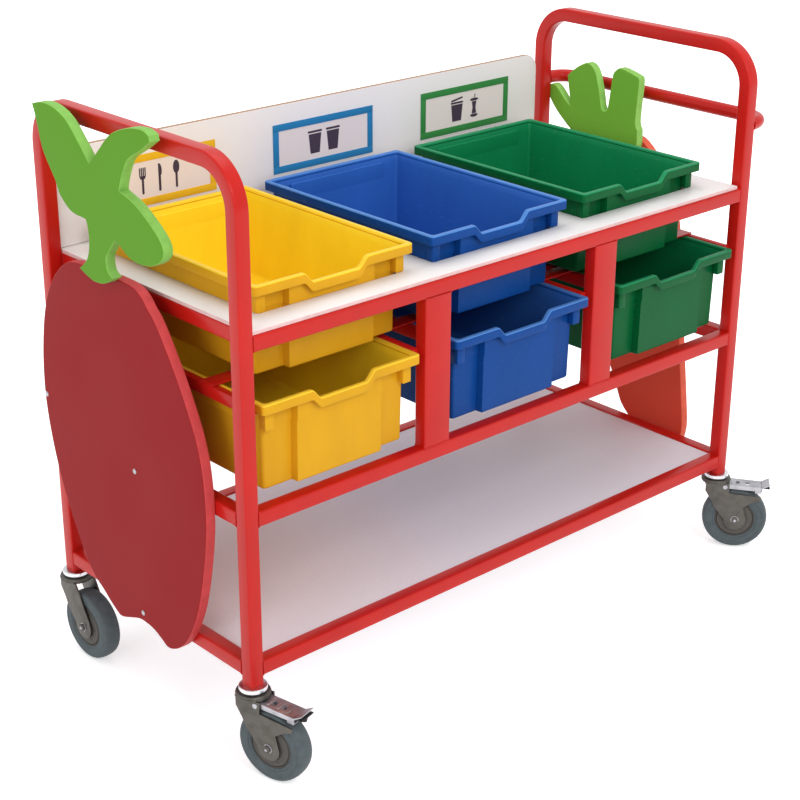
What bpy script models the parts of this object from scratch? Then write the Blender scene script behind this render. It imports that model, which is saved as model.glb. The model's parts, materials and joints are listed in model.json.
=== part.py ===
"""Clearing trolley: a welded tube frame on four casters that carries six moulded trays,
two shelves, a rear panel, a push handle and cut-out boards on its ends.

Lengths are in metres. X runs along the trolley from its left end, Y from its front to
its rear, and Z up from the floor. The pieces are placed from the frame's front left
corner, and the whole trolley is then moved so that its middle stands on the origin.
"""

import math

import bmesh
import bpy
from mathutils import Matrix, Vector

# Frame
HEIGHT = 0.9935
TUBE = 0.025
TUBE_CORNER = 0.003
TUBE_WALL = 0.0015
HOOP_BEND = 0.0675
LEG_END = 0.156
TOP_RAIL_TOP = 0.7317
MID_RAIL_TOP = 0.452
BOTTOM_RAIL_TOP = 0.196
UPRIGHT_WIDTH = 0.055
BAYS = 3

# Runners that carry the lower trays, and the flat strips that tie them together
RUNNER_WEB = 0.012
RUNNER_HEIGHT = 0.020
RUNNER_BOTTOM = 0.601
RUNNER_LEDGE = 0.0195
RUNNER_LEDGE_THICKNESS = 0.0027
RUNNER_FRONT_SETBACK = 0.018
RUNNER_REAR_SETBACK = 0.003
STRIP_WIDTH = 0.030
STRIP_THICKNESS = 0.003
STRIP_SETBACK = 0.105

# Shelves and rear panel
SHELF_THICKNESS = 0.0065
SHELF_FRONT_SETBACK = 0.003
SHELF_END_SETBACK = 0.0085
BOTTOM_SHELF_THICKNESS = 0.012
BOTTOM_SHELF_DROP = 0.0025
PANEL_THICKNESS = 0.009
PANEL_HEIGHT = 0.162
PANEL_REAR_SETBACK = 0.0095
PANEL_CORNER = 0.030
PANEL_END_SETBACK = 0.0137
CUT_OUT_CLEARANCE = 0.001
CUT_OUT_CORNER = 0.003

# Moulded trays
TRAY_LENGTH = 0.427
TRAY_WIDTH = 0.312
TRAY_HEIGHT = 0.150
TRAY_WALL = 0.0025
TRAY_FLOOR = 0.0028
TRAY_CORNER = 0.006
TRAY_CORNER_SHRINK_SHARE = 0.1
TRAY_LIP = 0.016
TRAY_LIP_WALL = 0.0025
TRAY_RIM_WIDTH = 0.0075
TRAY_RIM_THICKNESS = 0.0035
TRAY_RIM_ROUND = 0.0015
TRAY_SHOULDER = 0.0108
TRAY_SHOULDER_HEIGHT = 0.0465
TRAY_LEDGE = 0.0047
TRAY_DRAFT = 0.0015
TRAY_FLOOR_ROUND = 0.004
TRAY_RECESS = 0.0135
TRAY_PANEL = 0.168
TRAY_PANEL_STEP = 0.0015
TRAY_DIP = 0.0165
TRAY_DIP_LOW_SHARE = 0.28
TRAY_DIP_SLOPE_SHARE = 0.065
UPPER_TRAY_START = 0.0634
UPPER_TRAY_SPACE = 0.040
UPPER_TRAY_FRONT = 0.0445
UPPER_TRAY_REAR_SPACE = 0.0545
LOWER_TRAY_SIDE_SPACE = 0.01235
LOWER_TRAY_FRONT = -0.002
LOWER_TRAY_RIM_TOP = 0.620

# The frame's length and depth follow the trays that it carries
LENGTH = 2 * TUBE + (BAYS - 1) * UPRIGHT_WIDTH + BAYS * (TRAY_WIDTH + 2 * LOWER_TRAY_SIDE_SPACE)
DEPTH = UPPER_TRAY_FRONT + TRAY_LENGTH + UPPER_TRAY_REAR_SPACE

# Push handle
HANDLE_DIAMETER = 0.025
HANDLE_REACH = 0.050
HANDLE_BEND = 0.040
HANDLE_HEIGHT = 0.8455

# End boards
BOARD = 0.018
BODY_FRONT = 0.059
BODY_BOTTOM = 0.151
BODY_WIDTH = 0.457
BODY_HEIGHT = 0.605
LEAF_FRONT = 0.125
LEAF_BOTTOM = 0.747
LEAF_WIDTH = 0.329
LEAF_HEIGHT = 0.263
CARROT_FRONT = 0.130
CARROT_BOTTOM = 0.1395
CARROT_WIDTH = 0.295
CARROT_HEIGHT = 0.625
CARROT_LEAF_FRONT = 0.273
CARROT_LEAF_BOTTOM = 0.7095
CARROT_LEAF_WIDTH = 0.237
CARROT_LEAF_HEIGHT = 0.185
SPACER_DEPTH = 0.035
SPACER_HEIGHT = 0.012
LEAF_SPACER_PLACE_SHARE = 0.86
CARROT_SPACER_PLACE_SHARE = 0.48

# Casters
WHEEL_DIAMETER = 0.125
WHEEL_WIDTH = 0.032
WHEEL_ROUND = 0.006
WHEEL_TREAD_CROWN = 0.0015
CASTER_TRAIL = 0.041
TYRE_THICKNESS = 0.0245
HUB_RIM_WIDTH = 0.028
HUB_RIM_THICKNESS = 0.005
HUB_DISC_WIDTH = 0.018
HUB_BOSS_RADIUS = 0.013
AXLE_DIAMETER = 0.010
AXLE_HEAD_DIAMETER = 0.0135
AXLE_HEAD_HEIGHT = 0.005
FORK_PLATE = 0.0025
FORK_SIDE_CLEARANCE = 0.002
FORK_CROWN_LENGTH = 0.042
FORK_CUP_DIAMETER = 0.056
FORK_CUP_HEIGHT = 0.0065
FORK_CUP_ROUND = 0.0015
COLLAR_DIAMETER = 0.046
COLLAR_HEIGHT = 0.0095
COLLAR_ROUND = 0.0015
STEM_LENGTH = 0.040
KINGPIN_DIAMETER = 0.010
KINGPIN_HEAD_DIAMETER = 0.018
KINGPIN_HEAD_HEIGHT = 0.003
PEDAL_WIDTH = 0.033
PEDAL_THICKNESS = 0.002
PEDAL_PIN_DIAMETER = 0.006
PEDAL_PIN_FORWARD = 0.018
PEDAL_PIN_HEIGHT = 0.1318
PEDAL_LENGTH = 0.070
PEDAL_DROP = 0.002
PEDAL_TIP_LENGTH = 0.015
PEDAL_TIP_RISE = 0.009
PEDAL_SLOT_WIDTH = 0.012
PEDAL_SLOT_LENGTH = 0.007
PEDAL_BLOCK_LENGTH = 0.012
PEDAL_BLOCK_HEIGHT = 0.009

# Clearances, rounding steps and allowances
GAP = 0.0003
RUNNING_GAP = 0.0005
OVERRUN = 0.010
MERGE = 0.00001
TUBE_CORNER_STEPS = 2
BEND_STEPS = 8
ROUND_STEPS = 14
WHEEL_STEPS = 20
HANDLE_SIDES = 12
TRAY_CORNER_STEPS = 2
TRAY_DIP_STEPS = 3
CURVE_STEPS = 2
BEVEL_PROFILE_SHARE = 0.5

# Where the casters stand, which way each trails from +X towards the front, and its brake
CASTERS = [
    ("front_left", 0, 0, 75, True),
    ("front_right", 1, 0, 50, True),
    ("rear_left", 0, 1, 88, False),
    ("rear_right", 1, 1, 60, False),
]

# Outlines of the end boards, as shares of each board's width and height. The strokes
# of an outline are smooth curves that meet at its corners.
BODY_SHARES = [
    [
        (0.593, 0.997), (0.777, 0.988), (0.908, 0.899), (0.980, 0.755), (1.000, 0.547),
        (0.932, 0.321), (0.792, 0.112), (0.702, 0.051), (0.617, 0.007), (0.573, 0.002),
        (0.468, 0.030), (0.376, 0.026), (0.317, 0.007), (0.269, 0.000), (0.164, 0.051),
        (0.066, 0.183), (0.000, 0.408), (0.009, 0.572), (0.068, 0.691), (0.230, 0.891),
        (0.306, 0.954), (0.392, 0.997), (0.593, 0.997),
    ],
]
LEAF_SHARES = [
    [(0.581, 0.000), (0.638, 0.019), (0.687, 0.046)],
    [(0.687, 0.046), (0.629, 0.110), (0.599, 0.186), (0.593, 0.281), (0.605, 0.365)],
    [
        (0.605, 0.365), (0.669, 0.365), (0.739, 0.380), (0.815, 0.449), (0.848, 0.529),
        (0.936, 0.684), (0.970, 0.825), (1.000, 0.947),
    ],
    [
        (1.000, 0.947), (0.927, 0.970), (0.842, 0.970), (0.748, 0.935), (0.672, 0.867),
        (0.547, 0.707),
    ],
    [
        (0.547, 0.707), (0.450, 0.825), (0.362, 0.920), (0.225, 0.985), (0.103, 1.000),
        (0.058, 0.947), (0.191, 0.844), (0.249, 0.791), (0.295, 0.688), (0.319, 0.608),
    ],
    [
        (0.319, 0.608), (0.198, 0.563), (0.055, 0.452), (0.000, 0.373), (0.012, 0.304),
        (0.070, 0.255), (0.125, 0.232), (0.201, 0.224), (0.277, 0.240), (0.374, 0.312),
    ],
    [(0.374, 0.312), (0.450, 0.198), (0.462, 0.152), (0.450, 0.095), (0.413, 0.068)],
    [(0.413, 0.068), (0.465, 0.027), (0.517, 0.004), (0.581, 0.000)],
]
CARROT_SHARES = [
    [
        (0.624, 0.965), (0.559, 1.000), (0.454, 0.981), (0.322, 0.912), (0.186, 0.776),
        (0.112, 0.568), (0.068, 0.376), (0.007, 0.158), (0.000, 0.083), (0.041, 0.027),
        (0.136, 0.000), (0.322, 0.021), (0.515, 0.088), (0.590, 0.149), (0.746, 0.312),
        (0.898, 0.504), (1.000, 0.696), (0.983, 0.856), (0.864, 0.960), (0.729, 0.997),
        (0.624, 0.965),
    ],
]
CARROT_LEAF_SHARES = [
    [
        (0.000, 0.395), (0.025, 0.476), (0.017, 0.692), (0.008, 0.914), (0.042, 0.957),
        (0.139, 0.989), (0.228, 1.000), (0.287, 0.935), (0.295, 0.892), (0.333, 0.530),
    ],
    [
        (0.333, 0.530), (0.388, 0.519), (0.414, 0.649), (0.460, 0.854), (0.506, 0.951),
        (0.565, 0.984), (0.629, 0.957), (0.705, 0.897), (0.772, 0.822), (0.781, 0.762),
        (0.734, 0.481),
    ],
    [
        (0.734, 0.481), (0.806, 0.551), (0.890, 0.654), (0.949, 0.681), (1.000, 0.638),
        (0.983, 0.541), (0.873, 0.378), (0.662, 0.178), (0.451, 0.054), (0.219, 0.000),
        (0.051, 0.070), (0.000, 0.205), (0.000, 0.395),
    ],
]

# Side view of a fork's cheek, as shares of the trail (forward of the swivel axis) and
# of the axle's height. Braked forks reach forward under the pedal.
CHEEK_REAR_SHARES = [
    (-0.480, 2.230), (-0.480, 1.955), (-0.195, 1.656), (-0.012, 1.399), (0.195, 1.237),
]
BRAKED_FRONT_SHARES = [
    (1.354, 1.439), (1.780, 1.629), (2.122, 1.696), (2.171, 1.818), (0.634, 1.913),
    (0.634, 2.230),
]
PLAIN_FRONT_SHARES = [(1.427, 1.254), (1.122, 1.634), (0.634, 2.230)]
CHEEK_END_SHARE = 0.53


def linear(red, green, blue):
    """A colour given as 0 to 255 screen values, as Blender's linear values."""
    shares = [value / 255 for value in (red, green, blue)]
    return [s / 12.92 if s < 0.04045 else ((s + 0.055) / 1.055) ** 2.4 for s in shares] + [1]


def make_material(name, colour, roughness, metallic=0):
    material = bpy.data.materials.new(name)
    material.use_nodes = True
    shader = material.node_tree.nodes["Principled BSDF"]
    shader.inputs["Base Color"].default_value = linear(*colour)
    shader.inputs["Roughness"].default_value = roughness
    shader.inputs["Metallic"].default_value = metallic
    material.diffuse_color = linear(*colour)
    return material


def make_materials():
    return {
        "red_paint": make_material("red_paint", (214, 52, 46), 0.35),
        "white_board": make_material("white_board", (240, 238, 236), 0.45),
        "grey_board": make_material("grey_board", (193, 178, 182), 0.5),
        "yellow_plastic": make_material("yellow_plastic", (245, 190, 30), 0.35),
        "blue_plastic": make_material("blue_plastic", (32, 80, 155), 0.35),
        "green_plastic": make_material("green_plastic", (14, 110, 56), 0.35),
        "dark_red_board": make_material("dark_red_board", (150, 48, 48), 0.5),
        "leaf_green_board": make_material("leaf_green_board", (103, 160, 52), 0.5),
        "orange_board": make_material("orange_board", (226, 84, 40), 0.5),
        "bright_steel": make_material("bright_steel", (225, 225, 228), 0.15, 1),
        "zinc_steel": make_material("zinc_steel", (150, 146, 140), 0.4, 1),
        "hub_plastic": make_material("hub_plastic", (120, 120, 122), 0.5),
        "grey_rubber": make_material("grey_rubber", (95, 103, 108), 0.7),
    }


def clear_scene():
    for item in list(bpy.data.objects):
        bpy.data.objects.remove(item, do_unlink=True)


def add_object(name, mesh_builder, material, location=(0, 0, 0), parent=None):
    """Makes an object from a bmesh, with its faces turned outwards and its edges smoothed."""
    bmesh.ops.recalc_face_normals(mesh_builder, faces=mesh_builder.faces[:])
    mesh = bpy.data.meshes.new(name)
    mesh_builder.to_mesh(mesh)
    mesh_builder.free()
    mesh.shade_smooth()
    mesh.set_sharp_from_angle(angle=math.radians(35))
    mesh.materials.append(material)
    return place_mesh(name, mesh, location, parent)


def place_mesh(name, mesh, location, parent):
    item = bpy.data.objects.new(name, mesh)
    item.location = location
    item.parent = parent
    bpy.context.scene.collection.objects.link(item)
    return item


def add_empty(name, location, parent=None, turn=0):
    empty = bpy.data.objects.new(name, None)
    empty.location = location
    empty.rotation_euler = (0, 0, turn)
    empty.parent = parent
    bpy.context.scene.collection.objects.link(empty)
    return empty


def boolean(target, tool, operation):
    """Cuts a tool object away from the target, or joins it on, and hides the tool."""
    modifier = target.modifiers.new(tool.name, "BOOLEAN")
    modifier.operation = operation
    modifier.solver = "EXACT"
    modifier.object = tool
    tool.hide_render = True
    tool.display_type = "WIRE"


def add_box(name, low, high, material, parent, rounded_axis=None, rounding=0, steps=1):
    """A box between two corners, whose edges along one axis may be rounded."""
    low = Vector(low)
    high = Vector(high)
    size = high - low
    builder = bmesh.new()
    bmesh.ops.create_cube(builder, size=1)
    bmesh.ops.scale(builder, vec=size, verts=builder.verts)
    if rounded_axis is not None:
        long_edges = [
            edge
            for edge in builder.edges
            if abs(edge.verts[0].co[rounded_axis] - edge.verts[1].co[rounded_axis]) > MERGE
        ]
        bmesh.ops.bevel(
            builder, geom=long_edges, offset=rounding, offset_type="OFFSET",
            segments=steps, profile=BEVEL_PROFILE_SHARE, affect="EDGES",
        )
    return add_object(name, builder, material, (low + high) / 2, parent)


def skin(builder, rings):
    """Joins rings of points with bands of faces and returns the rings' vertices."""
    loops = [[builder.verts.new(point) for point in ring] for ring in rings]
    for lower, upper in zip(loops, loops[1:]):
        for here in range(len(lower)):
            following = (here + 1) % len(lower)
            builder.faces.new((lower[here], lower[following], upper[following], upper[here]))
    return loops


def loft(builder, rings):
    """A solid skinned over rings of points, closed across the first and the last one."""
    loops = skin(builder, rings)
    builder.faces.new(loops[0])
    builder.faces.new(loops[-1])


def around(builder, loop):
    """The edges that run around a ring of vertices."""
    return [builder.edges.get(pair) for pair in zip(loop, loop[1:] + loop[:1])]


def add_hollow(name, stations, size, material, parent, location=(0, 0, 0)):
    """A hollow tube, open at both ends, along stations of (middle, across, up) vectors."""
    width, height = size
    bore = (width - 2 * TUBE_WALL, height - 2 * TUBE_WALL)
    builder = bmesh.new()
    ends = []
    for (wide, high), corner, steps in ((size, TUBE_CORNER, TUBE_CORNER_STEPS), (bore, 0, 0)):
        profile = rounded_rectangle(wide, high, corner, steps)
        rings = [
            [middle + across * x + up * z for x, z in profile] for middle, across, up in stations
        ]
        loops = skin(builder, rings)
        ends.append((around(builder, loops[0]), around(builder, loops[-1])))
    for outer_edges, bore_edges in zip(*ends):
        bmesh.ops.triangle_fill(builder, use_beauty=True, edges=outer_edges + bore_edges)
    return add_object(name, builder, material, location, parent)


def add_tube(name, low, high, axis, material, parent):
    """A straight hollow tube between two corners, running along one axis."""
    low = Vector(low)
    high = Vector(high)
    middle = (low + high) / 2
    directions = [Vector((1, 0, 0)), Vector((0, 1, 0)), Vector((0, 0, 1))]
    along = directions.pop(axis) * (high[axis] - low[axis]) / 2
    across, up = directions
    size = ((high - low).dot(across), (high - low).dot(up))
    stations = [(-along, across, up), (along, across, up)]
    return add_hollow(name, stations, size, material, parent, middle)


def add_turned(name, profile, axis, material, parent, location=(0, 0, 0), steps=ROUND_STEPS):
    """Turns a closed profile of (radius, place along the axis) points about Y or Z."""
    builder = bmesh.new()
    corners = [builder.verts.new((radius, 0, place)) for radius, place in profile]
    pairs = zip(corners, corners[1:] + corners[:1])
    edges = [builder.edges.new((a, b)) for a, b in pairs if a.co.x > 0 or b.co.x > 0]
    bmesh.ops.spin(
        builder, geom=corners + edges, cent=(0, 0, 0), axis=(0, 0, 1),
        angle=math.tau, steps=steps, use_merge=True,
    )
    bmesh.ops.remove_doubles(builder, verts=builder.verts[:], dist=MERGE)
    if axis == "Y":
        bmesh.ops.rotate(
            builder, cent=(0, 0, 0), matrix=Matrix.Rotation(math.pi / 2, 3, "X"),
            verts=builder.verts[:],
        )
        quarter = Matrix.Rotation(math.pi / 2, 3, "Y")
        bmesh.ops.rotate(builder, cent=(0, 0, 0), matrix=quarter, verts=builder.verts[:])
    return add_object(name, builder, material, location, parent)


def add_extruded(name, outline, direction, material, parent, location=(0, 0, 0)):
    """Extrudes a flat outline of 3-D points along a direction."""
    builder = bmesh.new()
    face = builder.faces.new([builder.verts.new(point) for point in outline])
    grown = bmesh.ops.extrude_face_region(builder, geom=[face])["geom"]
    moved = [item for item in grown if isinstance(item, bmesh.types.BMVert)]
    bmesh.ops.translate(builder, vec=direction, verts=moved)
    bmesh.ops.triangulate(builder, faces=[f for f in builder.faces if len(f.verts) > 4])
    return add_object(name, builder, material, location, parent)


def rounded_rectangle(width, height, corner, steps):
    """Points of a rectangle about its middle, whose corners are rounded in some steps."""
    points = []
    for quarter in range(4):
        middle = math.pi / 4 + quarter * math.pi / 2
        corner_x = math.copysign(width / 2 - corner, math.cos(middle))
        corner_y = math.copysign(height / 2 - corner, math.sin(middle))
        for step in range(steps + 1):
            angle = (quarter + step / max(steps, 1)) * math.pi / 2
            points.append((corner_x + corner * math.cos(angle), corner_y + corner * math.sin(angle)))
    return points


def curve_through(before, start, end, after, along):
    """A point of the smooth curve from start to end, with its neighbours on either side."""
    linear_part = end - before
    square_part = 2 * before - 5 * start + 4 * end - after
    cubic_part = after - before + 3 * (start - end)
    return start + (linear_part + (square_part + cubic_part * along) * along) * along / 2


def smooth_outline(strokes, width, height):
    """The closed outline that the strokes draw, in real size."""
    outline = []
    for stroke in strokes:
        points = [Vector((across * width, up * height)) for across, up in stroke]
        closed = stroke[0] == stroke[-1]
        first = points[-2] if closed else points[0]
        last = points[1] if closed else points[-1]
        padded = [first] + points + [last]
        for four in zip(padded, padded[1:], padded[2:], padded[3:]):
            for step in range(CURVE_STEPS):
                outline.append(curve_through(*four, step / CURVE_STEPS))
    return outline


def add_board(name, strokes, place, width, height, left, material, parent):
    """An end board, whose left face is at the given X and whose outline starts at (Y, Z)."""
    outline = [(0, point.x, point.y) for point in smooth_outline(strokes, width, height)]
    front, bottom = place
    return add_extruded(
        name, outline, (BOARD, 0, 0), material, parent, (left, front, bottom)
    )


def hoop_path():
    """Stations of a hoop's middle line: (Y, Z) and the direction that points outwards."""
    low = TUBE / 2
    high = DEPTH - TUBE / 2
    top = HEIGHT - TUBE / 2
    stations = [(low, LEG_END, math.pi)]
    for step in range(BEND_STEPS + 1):
        angle = math.pi - step / BEND_STEPS * math.pi / 2
        y = low + HOOP_BEND + HOOP_BEND * math.cos(angle)
        stations.append((y, top - HOOP_BEND + HOOP_BEND * math.sin(angle), angle))
    for step in range(BEND_STEPS + 1):
        angle = math.pi / 2 - step / BEND_STEPS * math.pi / 2
        y = high - HOOP_BEND + HOOP_BEND * math.cos(angle)
        stations.append((y, top - HOOP_BEND + HOOP_BEND * math.sin(angle), angle))
    stations.append((high, LEG_END, 0))
    return stations


def add_hoop(name, left, materials, parent):
    """An end hoop: one bent tube that makes both legs, open at its feet for the stems."""
    stations = []
    for y, z, angle in hoop_path():
        outward = Vector((0, math.cos(angle), math.sin(angle)))
        stations.append((Vector((TUBE / 2, y, z)), Vector((1, 0, 0)), outward))
    add_hollow(name, stations, (TUBE, TUBE), materials["red_paint"], parent, (left, 0, 0))


def bay_width():
    return (LENGTH - 2 * TUBE - (BAYS - 1) * UPRIGHT_WIDTH) / BAYS


def bay_left(bay):
    """X of the left wall plane of a bay, counted from 0 at the left end."""
    return TUBE + bay * (bay_width() + UPRIGHT_WIDTH)


def add_rails(materials, parent):
    paint = materials["red_paint"]
    inner_left = TUBE + GAP
    inner_right = LENGTH - TUBE - GAP
    sides = (("front", 0), ("rear", DEPTH - TUBE))
    levels = (("top", TOP_RAIL_TOP), ("mid", MID_RAIL_TOP), ("bottom", BOTTOM_RAIL_TOP))
    for side, y in sides:
        for level, top in levels:
            low = (inner_left, y, top - TUBE)
            add_tube(f"{side}_{level}_rail", low, (inner_right, y + TUBE, top), 0, paint, parent)
    inboard = {"top": TUBE + GAP, "mid": 0, "bottom": 0}
    for level, top in levels:
        left = inboard[level]
        for side, x in (("left", left), ("right", LENGTH - left - TUBE)):
            low = (x, TUBE + GAP, top - TUBE)
            high = (x + TUBE, DEPTH - TUBE - GAP, top)
            add_tube(f"{side}_{level}_side_rail", low, high, 1, paint, parent)


def add_uprights(materials, parent):
    low_z = MID_RAIL_TOP + GAP
    high_z = TOP_RAIL_TOP - TUBE - GAP
    for side, y in (("front", 0), ("rear", DEPTH - TUBE)):
        for bay, place in ((1, "left"), (2, "right")):
            right = bay_left(bay)
            low = (right - UPRIGHT_WIDTH, y, low_z)
            high = (right, y + TUBE, high_z)
            add_tube(f"{side}_{place}_upright", low, high, 2, materials["red_paint"], parent)


def add_runners(materials, parent):
    """The rails that the lower trays hang from: a web along each bay wall, with a ledge."""
    length = DEPTH - RUNNER_FRONT_SETBACK - RUNNER_REAR_SETBACK
    for bay in range(BAYS):
        left = bay_left(bay)
        walls = (("left", left + GAP, 1), ("right", left + bay_width() - GAP, -1))
        for side, wall, inward in walls:
            outline = [
                (0, 0, 0),
                (inward * RUNNER_LEDGE, 0, 0),
                (inward * RUNNER_LEDGE, 0, RUNNER_LEDGE_THICKNESS),
                (inward * RUNNER_WEB, 0, RUNNER_LEDGE_THICKNESS),
                (inward * RUNNER_WEB, 0, RUNNER_HEIGHT),
                (0, 0, RUNNER_HEIGHT),
            ]
            add_extruded(
                f"bay_{bay + 1}_{side}_runner", outline, (0, length, 0),
                materials["red_paint"], parent, (wall, RUNNER_FRONT_SETBACK, RUNNER_BOTTOM),
            )


def add_tie_strips(materials, parent):
    bottom = RUNNER_BOTTOM + RUNNER_HEIGHT + GAP
    starts = (("front", STRIP_SETBACK), ("rear", DEPTH - STRIP_SETBACK - STRIP_WIDTH))
    for side, y in starts:
        low = (TUBE + GAP, y, bottom)
        high = (LENGTH - TUBE - GAP, y + STRIP_WIDTH, bottom + STRIP_THICKNESS)
        add_box(f"{side}_tie_strip", low, high, materials["red_paint"], parent)


def tray_body_setbacks():
    """How far a tray's body stays behind its rim below the shoulder: side and panel."""
    return TRAY_SHOULDER + TRAY_LEDGE, TRAY_SHOULDER + TRAY_DRAFT


def shelf_top():
    return TOP_RAIL_TOP + SHELF_THICKNESS


def add_shelves(materials, parent):
    """The top shelf, cut out for the upper trays, and the one between the bottom rails."""
    low = (TUBE + GAP, SHELF_FRONT_SETBACK, TOP_RAIL_TOP + GAP)
    high = (LENGTH - TUBE - SHELF_END_SETBACK, DEPTH, shelf_top())
    shelf = add_box("top_shelf", low, high, materials["white_board"], parent)
    side, panel = tray_body_setbacks()
    for bay in range(BAYS):
        left = UPPER_TRAY_START + bay * (TRAY_WIDTH + UPPER_TRAY_SPACE)
        low = (
            left + side - CUT_OUT_CLEARANCE,
            UPPER_TRAY_FRONT + panel - CUT_OUT_CLEARANCE,
            TOP_RAIL_TOP - OVERRUN,
        )
        high = (
            left + TRAY_WIDTH - side + CUT_OUT_CLEARANCE,
            UPPER_TRAY_FRONT + TRAY_LENGTH - side + CUT_OUT_CLEARANCE,
            shelf_top() + OVERRUN,
        )
        cutter = add_box(
            f"top_shelf_cut_out_{bay + 1}", low, high, materials["white_board"], parent,
            2, CUT_OUT_CORNER, TRAY_CORNER_STEPS,
        )
        boolean(shelf, cutter, "DIFFERENCE")
    top = BOTTOM_RAIL_TOP - BOTTOM_SHELF_DROP
    edge = TUBE + GAP
    low = (edge, edge, top - BOTTOM_SHELF_THICKNESS)
    high = (LENGTH - edge, DEPTH - edge, top)
    add_box("bottom_shelf", low, high, materials["grey_board"], parent)


def add_rear_panel(materials, parent):
    """The upright panel behind the trays, with its two top corners rounded."""
    left = TUBE + GAP
    right = LENGTH - TUBE - PANEL_END_SETBACK
    outline = [(left, 0, 0), (right, 0, 0)]
    for centre, start in ((right - PANEL_CORNER, 0), (left + PANEL_CORNER, math.pi / 2)):
        for step in range(BEND_STEPS + 1):
            angle = start + step / BEND_STEPS * math.pi / 2
            x = centre + PANEL_CORNER * math.cos(angle)
            outline.append((x, 0, PANEL_HEIGHT - PANEL_CORNER + PANEL_CORNER * math.sin(angle)))
    add_extruded(
        "rear_panel", outline, (0, PANEL_THICKNESS, 0), materials["white_board"], parent,
        (0, DEPTH - PANEL_REAR_SETBACK - PANEL_THICKNESS, shelf_top() + GAP),
    )


def tray_ring(setback, front_setback, panel_setback, panel_half, corner, z, dip):
    """One level of a tray: a rounded rectangle whose front steps out to a middle panel.

    Setbacks are measured from the rim's outer edge, and dip lowers the front's middle.
    """
    half_x = TRAY_WIDTH / 2 - setback
    front = -TRAY_LENGTH / 2 + front_setback
    panel = -TRAY_LENGTH / 2 + panel_setback
    rear = TRAY_LENGTH / 2 - setback
    low_half = TRAY_WIDTH * TRAY_DIP_LOW_SHARE / 2
    slope = TRAY_WIDTH * TRAY_DIP_SLOPE_SHARE
    ring = []

    def add_corner(centre_x, centre_y, start):
        for step in range(TRAY_CORNER_STEPS + 1):
            angle = start + step / TRAY_CORNER_STEPS * math.pi / 2
            x = centre_x + corner * math.cos(angle)
            ring.append((x, centre_y + corner * math.sin(angle), z))

    add_corner(-half_x + corner, front + corner, math.pi)
    ring.append((-panel_half - TRAY_PANEL_STEP, front, z))
    ring.append((-panel_half, panel, z))
    for step in range(TRAY_DIP_STEPS + 1):
        along = step / TRAY_DIP_STEPS
        fall = along * along * (3 - 2 * along)
        ring.append((-low_half - slope * (1 - along), panel, z - dip * fall))
    for step in range(TRAY_DIP_STEPS + 1):
        along = step / TRAY_DIP_STEPS
        fall = 1 - along * along * (3 - 2 * along)
        ring.append((low_half + slope * along, panel, z - dip * fall))
    ring.append((panel_half, panel, z))
    ring.append((panel_half + TRAY_PANEL_STEP, front, z))
    add_corner(half_x - corner, front + corner, -math.pi / 2)
    add_corner(half_x - corner, rear - corner, 0)
    add_corner(-half_x + corner, rear - corner, math.pi / 2)
    return ring


def tray_rings():
    """Levels of a tray, from the middle of its inner floor over the rim and down outside."""
    rings = []
    wall = TRAY_WALL
    half = TRAY_PANEL / 2
    side, panel = tray_body_setbacks()
    front = TRAY_SHOULDER + TRAY_RECESS

    def level(setback, front_setback, panel_setback, panel_half, z, dip=0):
        corner = TRAY_CORNER - setback * TRAY_CORNER_SHRINK_SHARE
        rings.append(
            tray_ring(setback, front_setback, panel_setback, panel_half, corner, z, dip)
        )

    inner_floor = TRAY_FLOOR - TRAY_HEIGHT
    low_side = side + TRAY_DRAFT + wall
    low_front = front + 2 * TRAY_DRAFT + wall
    low_panel = panel + TRAY_DRAFT + wall
    curl = TRAY_FLOOR_ROUND
    level(low_side + curl, low_front + curl, low_panel + curl, half - wall - curl, inner_floor)
    level(low_side, low_front, low_panel, half - wall, inner_floor + curl)
    level(side + wall, front + TRAY_DRAFT + wall, panel + wall, half - wall,
          -TRAY_SHOULDER_HEIGHT)
    shoulder = TRAY_SHOULDER + wall
    under_lip = -TRAY_LIP - TRAY_RIM_ROUND
    level(shoulder, front + wall, shoulder, half - wall, under_lip, TRAY_DIP)
    level(TRAY_SHOULDER + wall / 2, TRAY_SHOULDER + wall / 2, TRAY_SHOULDER + wall / 2,
          half - wall, -TRAY_RIM_THICKNESS - TRAY_RIM_WIDTH / 2, TRAY_DIP)
    level(TRAY_RIM_WIDTH, TRAY_RIM_WIDTH, TRAY_RIM_WIDTH, half, 0, TRAY_DIP)
    level(TRAY_RIM_ROUND, TRAY_RIM_ROUND, TRAY_RIM_ROUND, half, 0, TRAY_DIP)
    level(0, 0, 0, half, -TRAY_RIM_ROUND, TRAY_DIP)
    level(0, 0, 0, half, -TRAY_LIP, TRAY_DIP)
    lip = TRAY_LIP_WALL
    level(lip, lip, lip, half, -TRAY_LIP, TRAY_DIP)
    level(lip, lip, lip, half, -TRAY_RIM_THICKNESS, TRAY_DIP)
    shoulder = TRAY_SHOULDER
    level(shoulder, shoulder, shoulder, half, -TRAY_RIM_THICKNESS, TRAY_DIP)
    level(shoulder, front, shoulder, half, -TRAY_LIP + TRAY_RIM_ROUND, TRAY_DIP)
    level(shoulder, front, shoulder, half, -TRAY_SHOULDER_HEIGHT)
    level(side, front + TRAY_DRAFT, panel, half, -TRAY_SHOULDER_HEIGHT)
    level(side + TRAY_DRAFT, front + 2 * TRAY_DRAFT, panel + TRAY_DRAFT, half,
          curl - TRAY_HEIGHT)
    level(side + TRAY_DRAFT + curl, front + 2 * TRAY_DRAFT + curl, panel + TRAY_DRAFT + curl,
          half - curl, -TRAY_HEIGHT)
    return rings


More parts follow.
